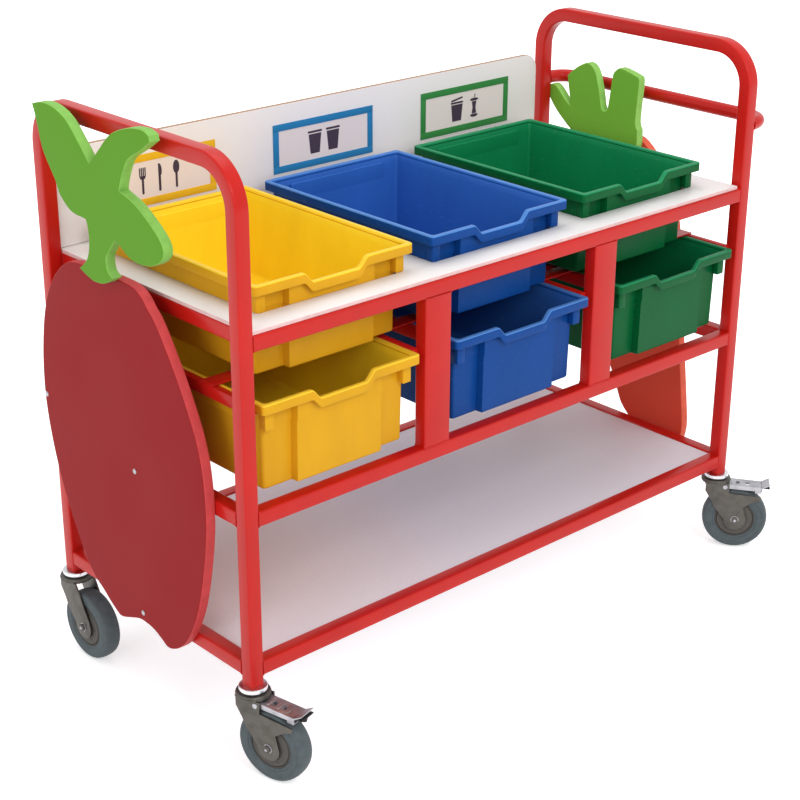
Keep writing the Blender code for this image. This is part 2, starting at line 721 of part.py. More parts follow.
def add_trays(materials, parent):
    """Three trays seated in the top shelf by their shoulders and three hung on runners."""
    colours = ("yellow", "blue", "green")
    upper_top = shelf_top() + TRAY_SHOULDER_HEIGHT + GAP
    for bay, colour in enumerate(colours):
        material = materials[f"{colour}_plastic"]
        builder = bmesh.new()
        loft(builder, tray_rings())
        bmesh.ops.triangulate(builder, faces=[f for f in builder.faces if len(f.verts) > 4])
        left = UPPER_TRAY_START + bay * (TRAY_WIDTH + UPPER_TRAY_SPACE)
        place = (left + TRAY_WIDTH / 2, UPPER_TRAY_FRONT + TRAY_LENGTH / 2, upper_top)
        upper = add_object(f"{colour}_upper_tray", builder, material, place, parent)
        middle = bay_left(bay) + bay_width() / 2
        place = (middle, LOWER_TRAY_FRONT + TRAY_LENGTH / 2, LOWER_TRAY_RIM_TOP)
        place_mesh(f"{colour}_lower_tray", upper.data, place, parent)


def add_push_handle(materials, parent):
    """A round bar across the right end, bent in to the outer faces of both legs."""
    front = TUBE / 2
    rear = DEPTH - TUBE / 2
    out = LENGTH + HANDLE_REACH
    points = [(LENGTH + GAP, front), (out - HANDLE_BEND, front)]
    for step in range(1, BEND_STEPS + 1):
        angle = step / BEND_STEPS * math.pi / 2
        x = out - HANDLE_BEND + HANDLE_BEND * math.sin(angle)
        points.append((x, front + HANDLE_BEND - HANDLE_BEND * math.cos(angle)))
    for step in range(BEND_STEPS):
        angle = step / BEND_STEPS * math.pi / 2
        x = out - HANDLE_BEND + HANDLE_BEND * math.cos(angle)
        points.append((x, rear - HANDLE_BEND + HANDLE_BEND * math.sin(angle)))
    points += [(out - HANDLE_BEND, rear), (LENGTH + GAP, rear)]
    rings = []
    for here, (x, y) in enumerate(points):
        ahead = Vector(points[min(here + 1, len(points) - 1)])
        behind = Vector(points[max(here - 1, 0)])
        run = (ahead - behind).normalized()
        side = Vector((run.y, -run.x, 0))
        if here in (0, len(points) - 1):
            side = Vector((0, math.copysign(1, side.y), 0))
        ring = []
        for step in range(HANDLE_SIDES):
            angle = step / HANDLE_SIDES * math.tau
            middle = Vector((x, y, HANDLE_HEIGHT))
            offset = side * math.cos(angle) + Vector((0, 0, 1)) * math.sin(angle)
            ring.append(middle + offset * HANDLE_DIAMETER / 2)
        rings.append(ring)
    builder = bmesh.new()
    loft(builder, rings)
    add_object("push_handle", builder, materials["red_paint"], (0, 0, 0), parent)


def add_spacer(name, left, right, y, z, material, parent):
    """A block that fills the space between an end board and the frame behind it."""
    low = (left, y - SPACER_DEPTH / 2, z - SPACER_HEIGHT / 2)
    high = (right, y + SPACER_DEPTH / 2, z + SPACER_HEIGHT / 2)
    add_box(name, low, high, material, parent)


def add_end_boards(materials, parent):
    """The cut-out boards: a body and its leaf outside the left hoop and the right one."""
    green = materials["leaf_green_board"]
    orange = materials["orange_board"]
    left_body = -BOARD - GAP
    left_leaf = left_body - BOARD - GAP
    right_leaf = LENGTH + GAP
    right_body = right_leaf + BOARD + GAP
    add_board(
        "left_end_body", BODY_SHARES, (BODY_FRONT, BODY_BOTTOM), BODY_WIDTH, BODY_HEIGHT,
        left_body, materials["dark_red_board"], parent,
    )
    add_board(
        "left_end_leaf", LEAF_SHARES, (LEAF_FRONT, LEAF_BOTTOM), LEAF_WIDTH, LEAF_HEIGHT,
        left_leaf, green, parent,
    )
    add_board(
        "right_end_carrot", CARROT_SHARES, (CARROT_FRONT, CARROT_BOTTOM), CARROT_WIDTH,
        CARROT_HEIGHT, right_body, orange, parent,
    )
    add_board(
        "right_end_leaf", CARROT_LEAF_SHARES, (CARROT_LEAF_FRONT, CARROT_LEAF_BOTTOM),
        CARROT_LEAF_WIDTH, CARROT_LEAF_HEIGHT, right_leaf, green, parent,
    )
    leaf_y = LEAF_FRONT + LEAF_WIDTH * LEAF_SPACER_PLACE_SHARE
    add_spacer("left_leaf_spacer", -BOARD, -GAP, leaf_y, HEIGHT - TUBE / 2, green, parent)
    carrot_y = CARROT_FRONT + CARROT_WIDTH * CARROT_SPACER_PLACE_SHARE
    add_spacer(
        "right_carrot_spacer", right_leaf, right_leaf + BOARD, carrot_y,
        MID_RAIL_TOP - TUBE / 2, orange, parent,
    )


def fork_inner_half():
    return WHEEL_WIDTH / 2 + FORK_SIDE_CLEARANCE


def cup_top():
    """Height of the fork's round cup, which turns just under the collar."""
    return LEG_END - GAP - COLLAR_HEIGHT - GAP


def crown_bottom():
    return cup_top() - FORK_CUP_HEIGHT - FORK_PLATE


def add_caster_stem(name, foot, materials, parent):
    """The fixed half: a stem in the leg, a bright collar and a kingpin with its head."""
    stem = TUBE / 2 - TUBE_WALL - GAP
    collar = COLLAR_DIAMETER / 2
    pin = KINGPIN_DIAMETER / 2
    head = KINGPIN_HEAD_DIAMETER / 2
    collar_top = -GAP
    collar_bottom = collar_top - COLLAR_HEIGHT
    head_top = crown_bottom() - GAP - LEG_END
    profile = [
        (0, STEM_LENGTH),
        (stem, STEM_LENGTH),
        (stem, collar_top),
        (collar - COLLAR_ROUND, collar_top),
        (collar, collar_top - COLLAR_ROUND),
        (collar, collar_bottom),
        (pin, collar_bottom),
        (pin, head_top),
        (head, head_top),
        (head, head_top - KINGPIN_HEAD_HEIGHT),
        (0, head_top - KINGPIN_HEAD_HEIGHT),
    ]
    add_turned(f"{name}_stem", profile, "Z", materials["bright_steel"], parent, foot)


def cheek_outline(braked):
    """A fork cheek seen from the side, as (forward, height) points."""
    axle_z = WHEEL_DIAMETER / 2
    outline = [(along * CASTER_TRAIL, up * axle_z) for along, up in CHEEK_REAR_SHARES]
    end_radius = CASTER_TRAIL * CHEEK_END_SHARE
    for step in range(BEND_STEPS + 1):
        angle = math.pi + step / BEND_STEPS * math.pi
        x = CASTER_TRAIL + end_radius * math.cos(angle)
        outline.append((x, axle_z + end_radius * math.sin(angle)))
    front = BRAKED_FRONT_SHARES if braked else PLAIN_FRONT_SHARES
    outline += [(along * CASTER_TRAIL, up * axle_z) for along, up in front]
    return outline


def add_fork(name, braked, materials, swivel):
    """The turning half: a cup and crown, two cheeks and the axle bolt, as one piece."""
    zinc = materials["zinc_steel"]
    inner = fork_inner_half()
    outer = inner + FORK_PLATE
    cup = FORK_CUP_DIAMETER / 2
    base = crown_bottom() + FORK_PLATE / 2
    profile = [
        (0, cup_top()),
        (cup - FORK_CUP_ROUND, cup_top()),
        (cup, cup_top() - FORK_CUP_ROUND),
        (cup, base),
        (0, base),
    ]
    fork = add_turned(f"{name}_fork", profile, "Z", zinc, swivel)
    half_crown = FORK_CROWN_LENGTH / 2
    low = (-half_crown, -outer, crown_bottom())
    high = (half_crown, outer, crown_bottom() + FORK_PLATE)
    parts = [add_box(f"{name}_crown_tool", low, high, zinc, swivel)]
    for side, start in (("left", inner), ("right", -outer)):
        outline = [(x, 0, z) for x, z in cheek_outline(braked)]
        parts.append(
            add_extruded(
                f"{name}_{side}_cheek_tool", outline, (0, FORK_PLATE, 0), zinc, swivel,
                (0, start, 0),
            )
        )
    axle = AXLE_DIAMETER / 2
    head = AXLE_HEAD_DIAMETER / 2
    end = outer + AXLE_HEAD_HEIGHT
    neck = outer - FORK_PLATE / 2
    profile = [
        (0, -end), (head, -end), (head, -neck), (axle, -neck),
        (axle, neck), (head, neck), (head, end), (0, end),
    ]
    place = (CASTER_TRAIL, 0, WHEEL_DIAMETER / 2)
    parts.append(add_turned(f"{name}_axle_tool", profile, "Y", zinc, swivel, place))
    for part in parts:
        boolean(fork, part, "UNION")
    bore = KINGPIN_DIAMETER / 2 + RUNNING_GAP
    low_z = crown_bottom() - OVERRUN
    high_z = cup_top() + OVERRUN
    profile = [(0, low_z), (bore, low_z), (bore, high_z), (0, high_z)]
    boolean(fork, add_turned(f"{name}_pin_bore", profile, "Z", zinc, swivel), "DIFFERENCE")
    if braked:
        hole = PEDAL_PIN_DIAMETER / 2 + RUNNING_GAP
        reach = outer + OVERRUN
        profile = [(0, -reach), (hole, -reach), (hole, reach), (0, reach)]
        place = (PEDAL_PIN_FORWARD, 0, PEDAL_PIN_HEIGHT)
        cutter = add_turned(f"{name}_pedal_bore", profile, "Y", zinc, swivel, place)
        boolean(fork, cutter, "DIFFERENCE")


def add_wheel(name, materials, swivel):
    """A hub that runs on the axle and the rubber tyre around it."""
    axle_place = (CASTER_TRAIL, 0, WHEEL_DIAMETER / 2)
    bore = AXLE_DIAMETER / 2 + RUNNING_GAP
    rim = WHEEL_DIAMETER / 2 - TYRE_THICKNESS - GAP
    groove = rim - HUB_RIM_THICKNESS
    boss_half = fork_inner_half() - RUNNING_GAP
    disc_half = HUB_DISC_WIDTH / 2
    rim_half = HUB_RIM_WIDTH / 2
    half = [
        (bore, boss_half), (HUB_BOSS_RADIUS, boss_half), (HUB_BOSS_RADIUS, disc_half),
        (groove, disc_half), (rim, rim_half),
    ]
    profile = half + [(radius, -along) for radius, along in reversed(half)]
    add_turned(
        f"{name}_hub", profile, "Y", materials["hub_plastic"], swivel, axle_place,
        WHEEL_STEPS,
    )
    inner = WHEEL_DIAMETER / 2 - TYRE_THICKNESS
    outer = WHEEL_DIAMETER / 2
    wide = WHEEL_WIDTH / 2
    half = [
        (inner, rim_half),
        (inner + HUB_RIM_THICKNESS, wide),
        (outer - WHEEL_ROUND, wide),
        (outer - WHEEL_TREAD_CROWN, wide - WHEEL_ROUND),
    ]
    mirrored = [(radius, -along) for radius, along in reversed(half)]
    profile = half + [(outer, 0)] + mirrored
    add_turned(
        f"{name}_tyre", profile, "Y", materials["grey_rubber"], swivel, axle_place,
        WHEEL_STEPS,
    )


def add_pedal(name, materials, swivel):
    """The brake pedal: a bent plate on a pin between the cheeks, with a block beneath."""
    zinc = materials["zinc_steel"]
    pin = PEDAL_PIN_DIAMETER / 2
    root = pin + PEDAL_THICKNESS / 2
    half = PEDAL_WIDTH / 2
    end_x = PEDAL_LENGTH
    end_z = -PEDAL_DROP
    block_x = end_x - PEDAL_BLOCK_LENGTH
    block_z = end_z * block_x / end_x
    outline = [
        (-root, -root),
        (root, -root),
        (block_x, block_z - PEDAL_THICKNESS / 2),
        (block_x, block_z - PEDAL_THICKNESS / 2 - PEDAL_BLOCK_HEIGHT),
        (end_x, block_z - PEDAL_THICKNESS / 2 - PEDAL_BLOCK_HEIGHT),
        (end_x, end_z - PEDAL_THICKNESS / 2),
        (end_x + PEDAL_TIP_LENGTH, end_z + PEDAL_TIP_RISE - PEDAL_THICKNESS / 2),
        (end_x + PEDAL_TIP_LENGTH, end_z + PEDAL_TIP_RISE + PEDAL_THICKNESS / 2),
        (end_x, end_z + PEDAL_THICKNESS / 2 + PEDAL_THICKNESS / 2),
        (root, root),
        (-root, root),
    ]
    place = Vector((PEDAL_PIN_FORWARD, 0, PEDAL_PIN_HEIGHT))
    pedal = add_extruded(
        f"{name}_pedal", [(x, -half, z) for x, z in outline], (0, PEDAL_WIDTH, 0), zinc,
        swivel, place,
    )
    reach = fork_inner_half() + FORK_PLATE
    profile = [(0, -reach), (pin, -reach), (pin, reach), (0, reach)]
    boolean(pedal, add_turned(f"{name}_pedal_pin", profile, "Y", zinc, swivel, place), "UNION")
    for slot, share in (("rear", 0.35), ("front", 0.62)):
        middle = Vector((end_x * share, 0, end_z * share)) + place
        size = Vector((PEDAL_SLOT_LENGTH / 2, PEDAL_SLOT_WIDTH / 2, OVERRUN))
        cutter = add_box(f"{name}_{slot}_slot", middle - size, middle + size, zinc, swivel)
        boolean(pedal, cutter, "DIFFERENCE")


def add_casters(materials, parent):
    for name, right, rear, trail_angle, braked in CASTERS:
        x = TUBE / 2 + right * (LENGTH - TUBE)
        y = TUBE / 2 + rear * (DEPTH - TUBE)
        add_caster_stem(f"{name}_caster", (x, y, LEG_END), materials, parent)
        swivel = add_empty(f"{name}_swivel", (x, y, 0), parent, -math.radians(trail_angle))
        add_fork(f"{name}_caster", braked, materials, swivel)
        add_wheel(f"{name}_caster", materials, swivel)
        if braked:
            add_pedal(f"{name}_brake", materials, swivel)


def stand_on_origin(trolley):
    """Moves the trolley so that the middle of its box stands on the origin."""
    bpy.context.view_layer.update()
    solids = [item for item in bpy.data.objects if item.type == "MESH" and not item.hide_render]
    corners = [item.matrix_world @ vertex.co for item in solids for vertex in item.data.vertices]
    middle_x = (min(c.x for c in corners) + max(c.x for c in corners)) / 2
    middle_y = (min(c.y for c in corners) + max(c.y for c in corners)) / 2
    trolley.location = (-middle_x, -middle_y, 0)


def build_trolley():
    clear_scene()
    materials = make_materials()
    trolley = add_empty("trolley", (0, 0, 0))
    add_hoop("left_hoop", 0, materials, trolley)
    add_hoop("right_hoop", LENGTH - TUBE, materials, trolley)
    add_rails(materials, trolley)
    add_uprights(materials, trolley)
    add_runners(materials, trolley)
    add_tie_strips(materials, trolley)
    add_shelves(materials, trolley)
    add_rear_panel(materials, trolley)
    add_trays(materials, trolley)
    add_push_handle(materials, trolley)
    add_end_boards(materials, trolley)
    add_casters(materials, trolley)
    stand_on_origin(trolley)


build_trolley()
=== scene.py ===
import json
from math import cos, hypot, radians, sin

import bmesh
import bpy
from mathutils import Matrix, Vector
from mathutils.geometry import delaunay_2d_cdt

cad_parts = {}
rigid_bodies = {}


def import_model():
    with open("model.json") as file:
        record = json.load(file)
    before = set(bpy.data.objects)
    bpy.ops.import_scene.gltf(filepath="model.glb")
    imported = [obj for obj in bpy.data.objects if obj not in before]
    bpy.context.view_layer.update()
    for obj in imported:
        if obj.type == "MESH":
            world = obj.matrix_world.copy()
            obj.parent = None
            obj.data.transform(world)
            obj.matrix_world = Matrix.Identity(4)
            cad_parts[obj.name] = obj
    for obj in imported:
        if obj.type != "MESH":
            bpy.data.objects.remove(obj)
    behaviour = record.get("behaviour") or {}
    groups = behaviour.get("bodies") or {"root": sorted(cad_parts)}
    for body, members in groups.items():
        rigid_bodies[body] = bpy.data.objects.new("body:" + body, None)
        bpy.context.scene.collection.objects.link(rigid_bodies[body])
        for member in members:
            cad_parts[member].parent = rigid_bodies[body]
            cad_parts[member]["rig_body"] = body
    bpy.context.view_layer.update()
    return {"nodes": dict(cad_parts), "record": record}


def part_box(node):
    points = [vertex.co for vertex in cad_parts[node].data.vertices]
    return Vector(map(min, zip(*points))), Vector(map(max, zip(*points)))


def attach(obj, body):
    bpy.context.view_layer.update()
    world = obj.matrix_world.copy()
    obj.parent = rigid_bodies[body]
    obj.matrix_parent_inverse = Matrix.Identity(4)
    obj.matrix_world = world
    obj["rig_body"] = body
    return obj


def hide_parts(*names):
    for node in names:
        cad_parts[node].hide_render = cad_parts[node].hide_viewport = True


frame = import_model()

NODES = frame["nodes"]

COLOURS = ("yellow", "blue", "green")
CASTERS = ("front_left", "front_right", "rear_left", "rear_right")
# the left hoop's front corner on the floor, which the places of labels and screws start from
ROOT = Vector((*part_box("left_hoop")[0].xy, 0))
AXES = X, Y, Z = Vector((1, 0, 0)), Vector((0, 1, 0)), Vector((0, 0, 1))


# ---------------------------------------------------------------- materials

SHADER = "Principled BSDF"
COAT_ROUGHNESS = 0.12
NOISE_ROUGHNESS = 0.55
# how far a normal has to lie along the board's axis to count as its face
FACE_LIMIT = 0.8


def linear(colour):
    """An sRGB colour of 0 to 255 as the linear values that Blender uses."""
    values = []
    for value in colour:
        share = value / 255
        values.append(share / 12.92 if share <= 0.04045 else ((share + 0.055) / 1.055) ** 2.4)
    return (*values, 1)


def shade(colour, factor):
    return (*(min(1, value * factor) for value in colour[:3]), 1)


def new_material(name, roughness, metallic=0, coat=0, specular=0.5):
    """A material and its node tree."""
    material = bpy.data.materials.new(name)
    material.use_nodes = True
    tree = material.node_tree
    sockets = tree.nodes[SHADER].inputs
    sockets["Roughness"].default_value = roughness
    sockets["Metallic"].default_value = metallic
    sockets["Specular IOR Level"].default_value = specular
    if coat:
        sockets["Coat Weight"].default_value = coat
        sockets["Coat Roughness"].default_value = COAT_ROUGHNESS
    return material, tree


def add_node(tree, kind, inputs=(), **settings):
    """A new node, with an output or a plain value for each of its (socket, value) inputs."""
    node = tree.nodes.new(kind)
    for name, value in settings.items():
        setattr(node, name, value)
    for socket, value in inputs:
        if isinstance(value, bpy.types.NodeSocket):
            tree.links.new(value, node.inputs[socket])
        else:
            node.inputs[socket].default_value = value
    return node


def feed(tree, output, socket):
    """Joins an output to the shader."""
    tree.links.new(output, tree.nodes[SHADER].inputs[socket])


def noise(tree, scale, detail, stretch=(1, 1, 1)):
    """Noise in the piece's own metres."""
    coords = add_node(tree, "ShaderNodeTexCoord")
    inputs = (("Scale", stretch), ("Vector", coords.outputs["Object"]))
    mapping = add_node(tree, "ShaderNodeMapping", inputs)
    texture = add_node(tree, "ShaderNodeTexNoise", (
        ("Scale", scale), ("Detail", detail), ("Roughness", NOISE_ROUGHNESS),
        ("Vector", mapping.outputs["Vector"]),
    ))
    return texture.outputs["Fac"]


def ramp(tree, factor, stops):
    node = add_node(tree, "ShaderNodeValToRGB", (("Fac", factor),))
    elements = node.color_ramp.elements
    while len(elements) < len(stops):
        elements.new(0.5)
    for element, (place, colour) in zip(elements, stops):
        element.position = place
        element.color = colour
    return node.outputs["Color"]


def shades(tree, factor, colour, dark, light, start=0.3, end=0.7):
    """The colour, from a darker to a lighter share of itself."""
    return ramp(tree, factor, ((start, shade(colour, dark)), (end, shade(colour, light))))


def patches(tree, factor, start, end, strength):
    """A mask that rises from nothing to the strength."""
    return ramp(tree, factor, ((start, (0, 0, 0, 1)), (end, (strength, strength, strength, 1))))


def mix(tree, factor, first, second):
    """From the first colour to the second. Sockets 6 and 7 are the node's colours."""
    inputs = ((0, factor), (6, first), (7, second))
    return add_node(tree, "ShaderNodeMix", inputs, data_type="RGBA").outputs[2]


def calculate(tree, operation, *values):
    return add_node(tree, "ShaderNodeMath", enumerate(values), operation=operation).outputs["Value"]


def map_range(tree, factor, **ends):
    """The factor between new ends, named as From_Min and so on."""
    inputs = [(name.replace("_", " "), value) for name, value in ends.items()]
    node = add_node(tree, "ShaderNodeMapRange", [*inputs, ("Value", factor)])
    return node.outputs["Result"]


def bump(tree, height, strength, distance):
    inputs = (("Strength", strength), ("Distance", distance), ("Height", height))
    feed(tree, add_node(tree, "ShaderNodeBump", inputs).outputs["Normal"], "Normal")


def roughness_from(tree, factor, low, high):
    feed(tree, map_range(tree, factor, To_Min=low, To_Max=high), "Roughness")


def paint_material(name, colour):
    """Powder coat: fine orange peel, slightly uneven colour, a few small scuffs."""
    colour = linear(colour)
    material, tree = new_material(name, 0.32, coat=0.10, specular=0.20)
    broad = noise(tree, scale=9, detail=2)
    tone = shades(tree, broad, colour, 0.93, 1.06)
    scuffs = patches(tree, noise(tree, scale=260, detail=5, stretch=(1, 1, 0.35)), 0.66, 0.74, 0.55)
    feed(tree, mix(tree, scuffs, tone, shade(colour, 0.62)), "Base Color")
    bump(tree, noise(tree, scale=900, detail=2), strength=0.10, distance=0.0004)
    roughness_from(tree, broad, 0.26, 0.40)
    return material


def plastic_material(name, colour, roughness):
    """Moulded polypropylene: fine spark texture, faint flow streaks and rubbed patches."""
    colour = linear(colour)
    material, tree = new_material(name, roughness, specular=0.09)
    flow = noise(tree, scale=14, detail=3, stretch=(1, 1, 0.4))
    tone = shades(tree, flow, colour, 0.94, 1.05)
    rubbed = patches(tree, noise(tree, scale=420, detail=4, stretch=(1, 0.15, 1)), 0.62, 0.72, 0.20)
    pale = (*(min(1, value * 0.8 + 0.18) for value in colour[:3]), 1)
    feed(tree, mix(tree, rubbed, tone, pale), "Base Color")
    bump(tree, noise(tree, scale=1600, detail=2), strength=0.12, distance=0.0003)
    roughness_from(tree, flow, roughness - 0.05, roughness + 0.08)
    return material


def board_material(name, face, edge, axis, roughness, speckle):
    """Laminate on board: one colour on the faces across axis, another on the cut edges: the
    chipboard core's on the rear panel, a painted highlight on the dark red, green and orange
    boards, and painted shade with a painted pink reflection of the red frame on the white shelf.
    """
    material, tree = new_material(name, roughness, specular=0.09)
    coords = add_node(tree, "ShaderNodeTexCoord")
    parts = add_node(tree, "ShaderNodeSeparateXYZ", (("Vector", coords.outputs["Normal"]),))
    along = calculate(tree, "ABSOLUTE", parts.outputs[axis])
    side = calculate(tree, "GREATER_THAN", along, FACE_LIMIT)
    fine = noise(tree, scale=700, detail=4)
    face_tone = shades(tree, fine, linear(face), 1 - speckle, 1 + speckle, 0.35, 0.65)
    # on most boards the edge colour is a painted highlight; on the white shelf it is painted shade
    # with a painted pink reflection
    edge_tone = shades(tree, noise(tree, scale=60, detail=4), linear(edge), 0.88, 1.06)
    feed(tree, mix(tree, side, edge_tone, face_tone), "Base Color")
    bump(tree, fine, strength=0.06, distance=0.0003)
    broad = noise(tree, scale=7, detail=2)
    roughness_from(tree, broad, roughness - 0.06, roughness + 0.08)
    return material


def metal_material(name, colour, roughness, stretch=(1, 1, 1)):
    """Plated steel: cloudy plating and fine polish lines."""
    colour = linear(colour)
    material, tree = new_material(name, roughness, metallic=1)
    cloud = noise(tree, scale=55, detail=5)
    stops = ((0.3, shade(colour, 0.72)), (0.55, colour), (0.75, shade(colour, 1.12)))
    feed(tree, ramp(tree, cloud, stops), "Base Color")
    lines = noise(tree, scale=900, detail=3, stretch=stretch)
    bump(tree, lines, strength=0.10, distance=0.0003)
    roughness_from(tree, cloud, roughness - 0.06, roughness + 0.14)
    return material


def rubber_material(name, colour):
    """Rubber with dust on it and a fine grain."""
    material, tree = new_material(name, 0.62, specular=0.35)
    dust = noise(tree, scale=90, detail=5)
    feed(tree, shades(tree, dust, linear(colour), 0.82, 1.15), "Base Color")
    bump(tree, noise(tree, scale=1200, detail=3), strength=0.2, distance=0.0004)
    roughness_from(tree, dust, 0.5, 0.75)
    return material


def plastics(kind, colours, roughness):
    """A plastic for each bay's colour."""
    return {
        name: plastic_material(f"{name}_{kind}", colour, roughness)
        for name, colour in zip(COLOURS, colours)
    }


POLISHED = (1, 1, 0.2)
RED = paint_material("red_powder_coat", (197, 27, 20))
PLASTICS = plastics("moulding", ((222, 165, 30), (14, 70, 144), (3, 93, 47)), 0.34)
# the insides are lighter copies of each colour, which paint the light that falls into the trays;
# the rims are lighter copies too, a painted highlight along each rim
INSIDE_PAINTED_LIGHTS = plastics("inner_painted_light", ((252, 216, 44), (48, 100, 182), (16, 128, 78)), 0.34)
RIM_HIGHLIGHTS = plastics("rim_painted_highlight", ((250, 208, 58), (82, 134, 204), (38, 140, 92)), 0.28)
LABELS = plastics("label_frame", ((240, 188, 40), (44, 128, 182), (58, 138, 72)), 0.42)
# name, colour of the faces, colour of the cut edges, axis across the faces, roughness, speckle
WHITE_SHELF, WHITE_PANEL, GREY_SHELF, DARK_RED, LEAF_GREEN, LEAF_PAINTED_LIGHT, ORANGE, CARD = (
    board_material(*finish) for finish in (
        # the white shelf's pink-grey edge colour is painted shade and a painted reflection of the
        # red frame on its white edging
        ("white_shelf_laminate", (240, 237, 236), (232, 196, 194), "Z", 0.34, 0.012),
        ("white_panel_laminate", (240, 235, 236), (178, 138, 106), "Y", 0.42, 0.014),
        ("grey_shelf_laminate", (236, 228, 236), (210, 196, 198), "Z", 0.48, 0.04),
        # the lighter edge colours of the dark red, green and orange boards are painted highlights
        ("dark_red_laminate", (148, 24, 28), (202, 74, 76), "X", 0.48, 0.035),
        ("leaf_green_laminate", (96, 156, 36), (136, 194, 92), "X", 0.46, 0.03),
        # a lighter copy of the leaf green for the right leaf: painted light where that leaf lies in
        # shade
        ("leaf_green_painted_light_laminate", (118, 180, 60), (152, 210, 104), "X", 0.46, 0.03),
        ("orange_laminate", (224, 80, 60), (243, 110, 84), "X", 0.46, 0.03),
        ("label_card", (238, 226, 224), (216, 200, 196), "Y", 0.5, 0.012),
    )
)
ZINC = metal_material("zinc_plate", (100, 97, 92), 0.42, POLISHED)
PLATED = metal_material("pedal_plate", (186, 186, 192), 0.40, POLISHED)
BRIGHT = metal_material("bright_plate", (222, 222, 226), 0.18)
HUB = plastic_material("wheel_centre_moulding", (92, 89, 85), 0.42)
RUBBER = rubber_material("grey_tyre_rubber", (80, 90, 94))
BLACK = rubber_material("black_pad_rubber", (34, 34, 36))
INK = plastic_material("label_ink", (74, 62, 78), 0.6)


# --------------------------------------------------------- mesh helpers

FILL_LIMIT = 1e-7
SCREW_HEIGHT = 0.0016


def set_material(obj, material):
    obj.data.materials.clear()
    obj.data.materials.append(material)


def add_object(name, data):
    obj = bpy.data.objects.new(name, data)
    bpy.context.scene.collection.objects.link(obj)
    return obj


def piece_from(bm, name, material, body, angle=35):
    """A piece that rides a body: smooth, but sharp where faces meet at more than the angle."""
    bmesh.ops.recalc_face_normals(bm, faces=bm.faces[:])
    mesh = bpy.data.meshes.new(name)
    bm.to_mesh(mesh)
    bm.free()
    for polygon in mesh.polygons:
        polygon.use_smooth = True
    mesh.set_sharp_from_angle(angle=radians(angle))
    mesh.materials.append(material)
    piece = add_object(name, mesh)
    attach(piece, body)
    return piece


def arc(x, y, radius, start, turn, steps):
    """Points round a centre, from a start over a turn in degrees."""
    angles = [radians(start + turn * step / steps) for step in range(steps + 1)]
    return [(x + radius * cos(angle), y + radius * sin(angle)) for angle in angles]


def circle(x, y, radius, points):
    return arc(x, y, radius, 0, 360, points)[:-1]


def joined(bm, first, second):
    """Faces between two loops, of which one may be a single point."""
    faces = []
    count = max(len(first), len(second))
    for index in range(count):
        after = (index + 1) % count
        corners = []
        for loop, place in ((first, index), (first, after), (second, after), (second, index)):
            vertex = loop[place % len(loop)]
            if vertex not in corners:
                corners.append(vertex)
        faces.append(bm.faces.new(corners))
    return faces


def loft(bm, loops, closed=False):
    """Faces between each loop and the next, as one list for each pair."""
    pairs = zip(loops, loops[1:] + loops[:1] * closed)
    return [joined(bm, first, second) for first, second in pairs]


def turned(bm, profile, place, direction, steps, closed=False):
    """Spins (radius, height) points about direction at place. A closed profile is off its axis."""
    turn = Z.rotation_difference(direction).to_matrix()
    place = Vector(place)
    rings = []
    for radius, height in profile:
        points = circle(0, 0, radius, steps) if radius else [(0, 0)]
        rings.append([bm.verts.new(place + turn @ Vector((*point, height))) for point in points])
    loft(bm, rings, closed)


def tube(bm, path, radius, sides, ripple=0, closed=False):
    """A round bar along a path; ripple swells it from point to point as a weld does."""
    count = len(path)
    rings = []
    for index, point in enumerate(path):
        before = path[index - 1] if index or closed else point
        after = path[(index + 1) % count] if index < count - 1 or closed else point
        along = (after - before).normalized()
        across = along.orthogonal().normalized()
        if rings:
            # the ring starts beside the one before it
            guide = rings[-1][0].co - path[index - 1]
            across = (guide - along * guide.dot(along)).normalized()
        other = along.cross(across)
        swell = radius * (1 + ripple * (1 if index % 2 else -1))
        ring = [point + across * x + other * y for x, y in circle(0, 0, swell, sides)]
        rings.append([bm.verts.new(place) for place in ring])
    loft(bm, rings, closed)
    if not closed:
        bm.faces.new(rings[0])
        bm.faces.new(rings[-1])


def rounded_block(bm, low, high, bevel, segments=2):
    """A block with rounded edges between two corners."""
    made = bmesh.ops.create_cube(bm, size=1)
    for vertex in made["verts"]:
        for axis in range(3):
            vertex.co[axis] = low[axis] if vertex.co[axis] < 0 else high[axis]
    edges = {edge for vertex in made["verts"] for edge in vertex.link_edges}
    bmesh.ops.bevel(
        bm, geom=list(edges), offset=bevel, segments=segments, affect="EDGES",
        profile=0.5, clamp_overlap=True,
    )


def outline_plate(bm, outline, origin, across, up, depth):
    """A flat shape of 2-D points, raised along depth from its plane."""
    base = [bm.verts.new(origin + across * x + up * y) for x, y in outline]
    top = [bm.verts.new(vertex.co + Vector(depth)) for vertex in base]
    bm.faces.new(base)
    bm.faces.new(list(reversed(top)))
    joined(bm, base, top)


def rounded_outline(width, height, radius, steps=5):
    outline = []
    for side_x, side_y, start in ((1, 1, 0), (-1, 1, 90), (-1, -1, 180), (1, -1, 270)):
        centre = (side_x * (width / 2 - radius), side_y * (height / 2 - radius))
        outline += arc(*centre, radius, start, 90, steps)
    return outline


def filling(outline):
    """Triangles that fill a flat outline, as indices of its points."""
    result = delaunay_2d_cdt(outline, [], [list(range(len(outline)))], 1, FILL_LIMIT)
    triangles, sources = result[2], result[3]
    return [[sources[corner][0] for corner in triangle] for triangle in triangles]


def cap(bm, loop, triangles):
    return [bm.faces.new([loop[corner] for corner in triangle]) for triangle in triangles]


def node_ends(node, axis):
    """The middles of a node's two ends along an axis, and half its size."""
    low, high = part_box(node)
    start = (low + high) / 2
    end = start.copy()
    start[axis], end[axis] = low[axis], high[axis]
    return start, end, (high - low) / 2


def smooth_step(share):
    return share * share * (3 - 2 * share)


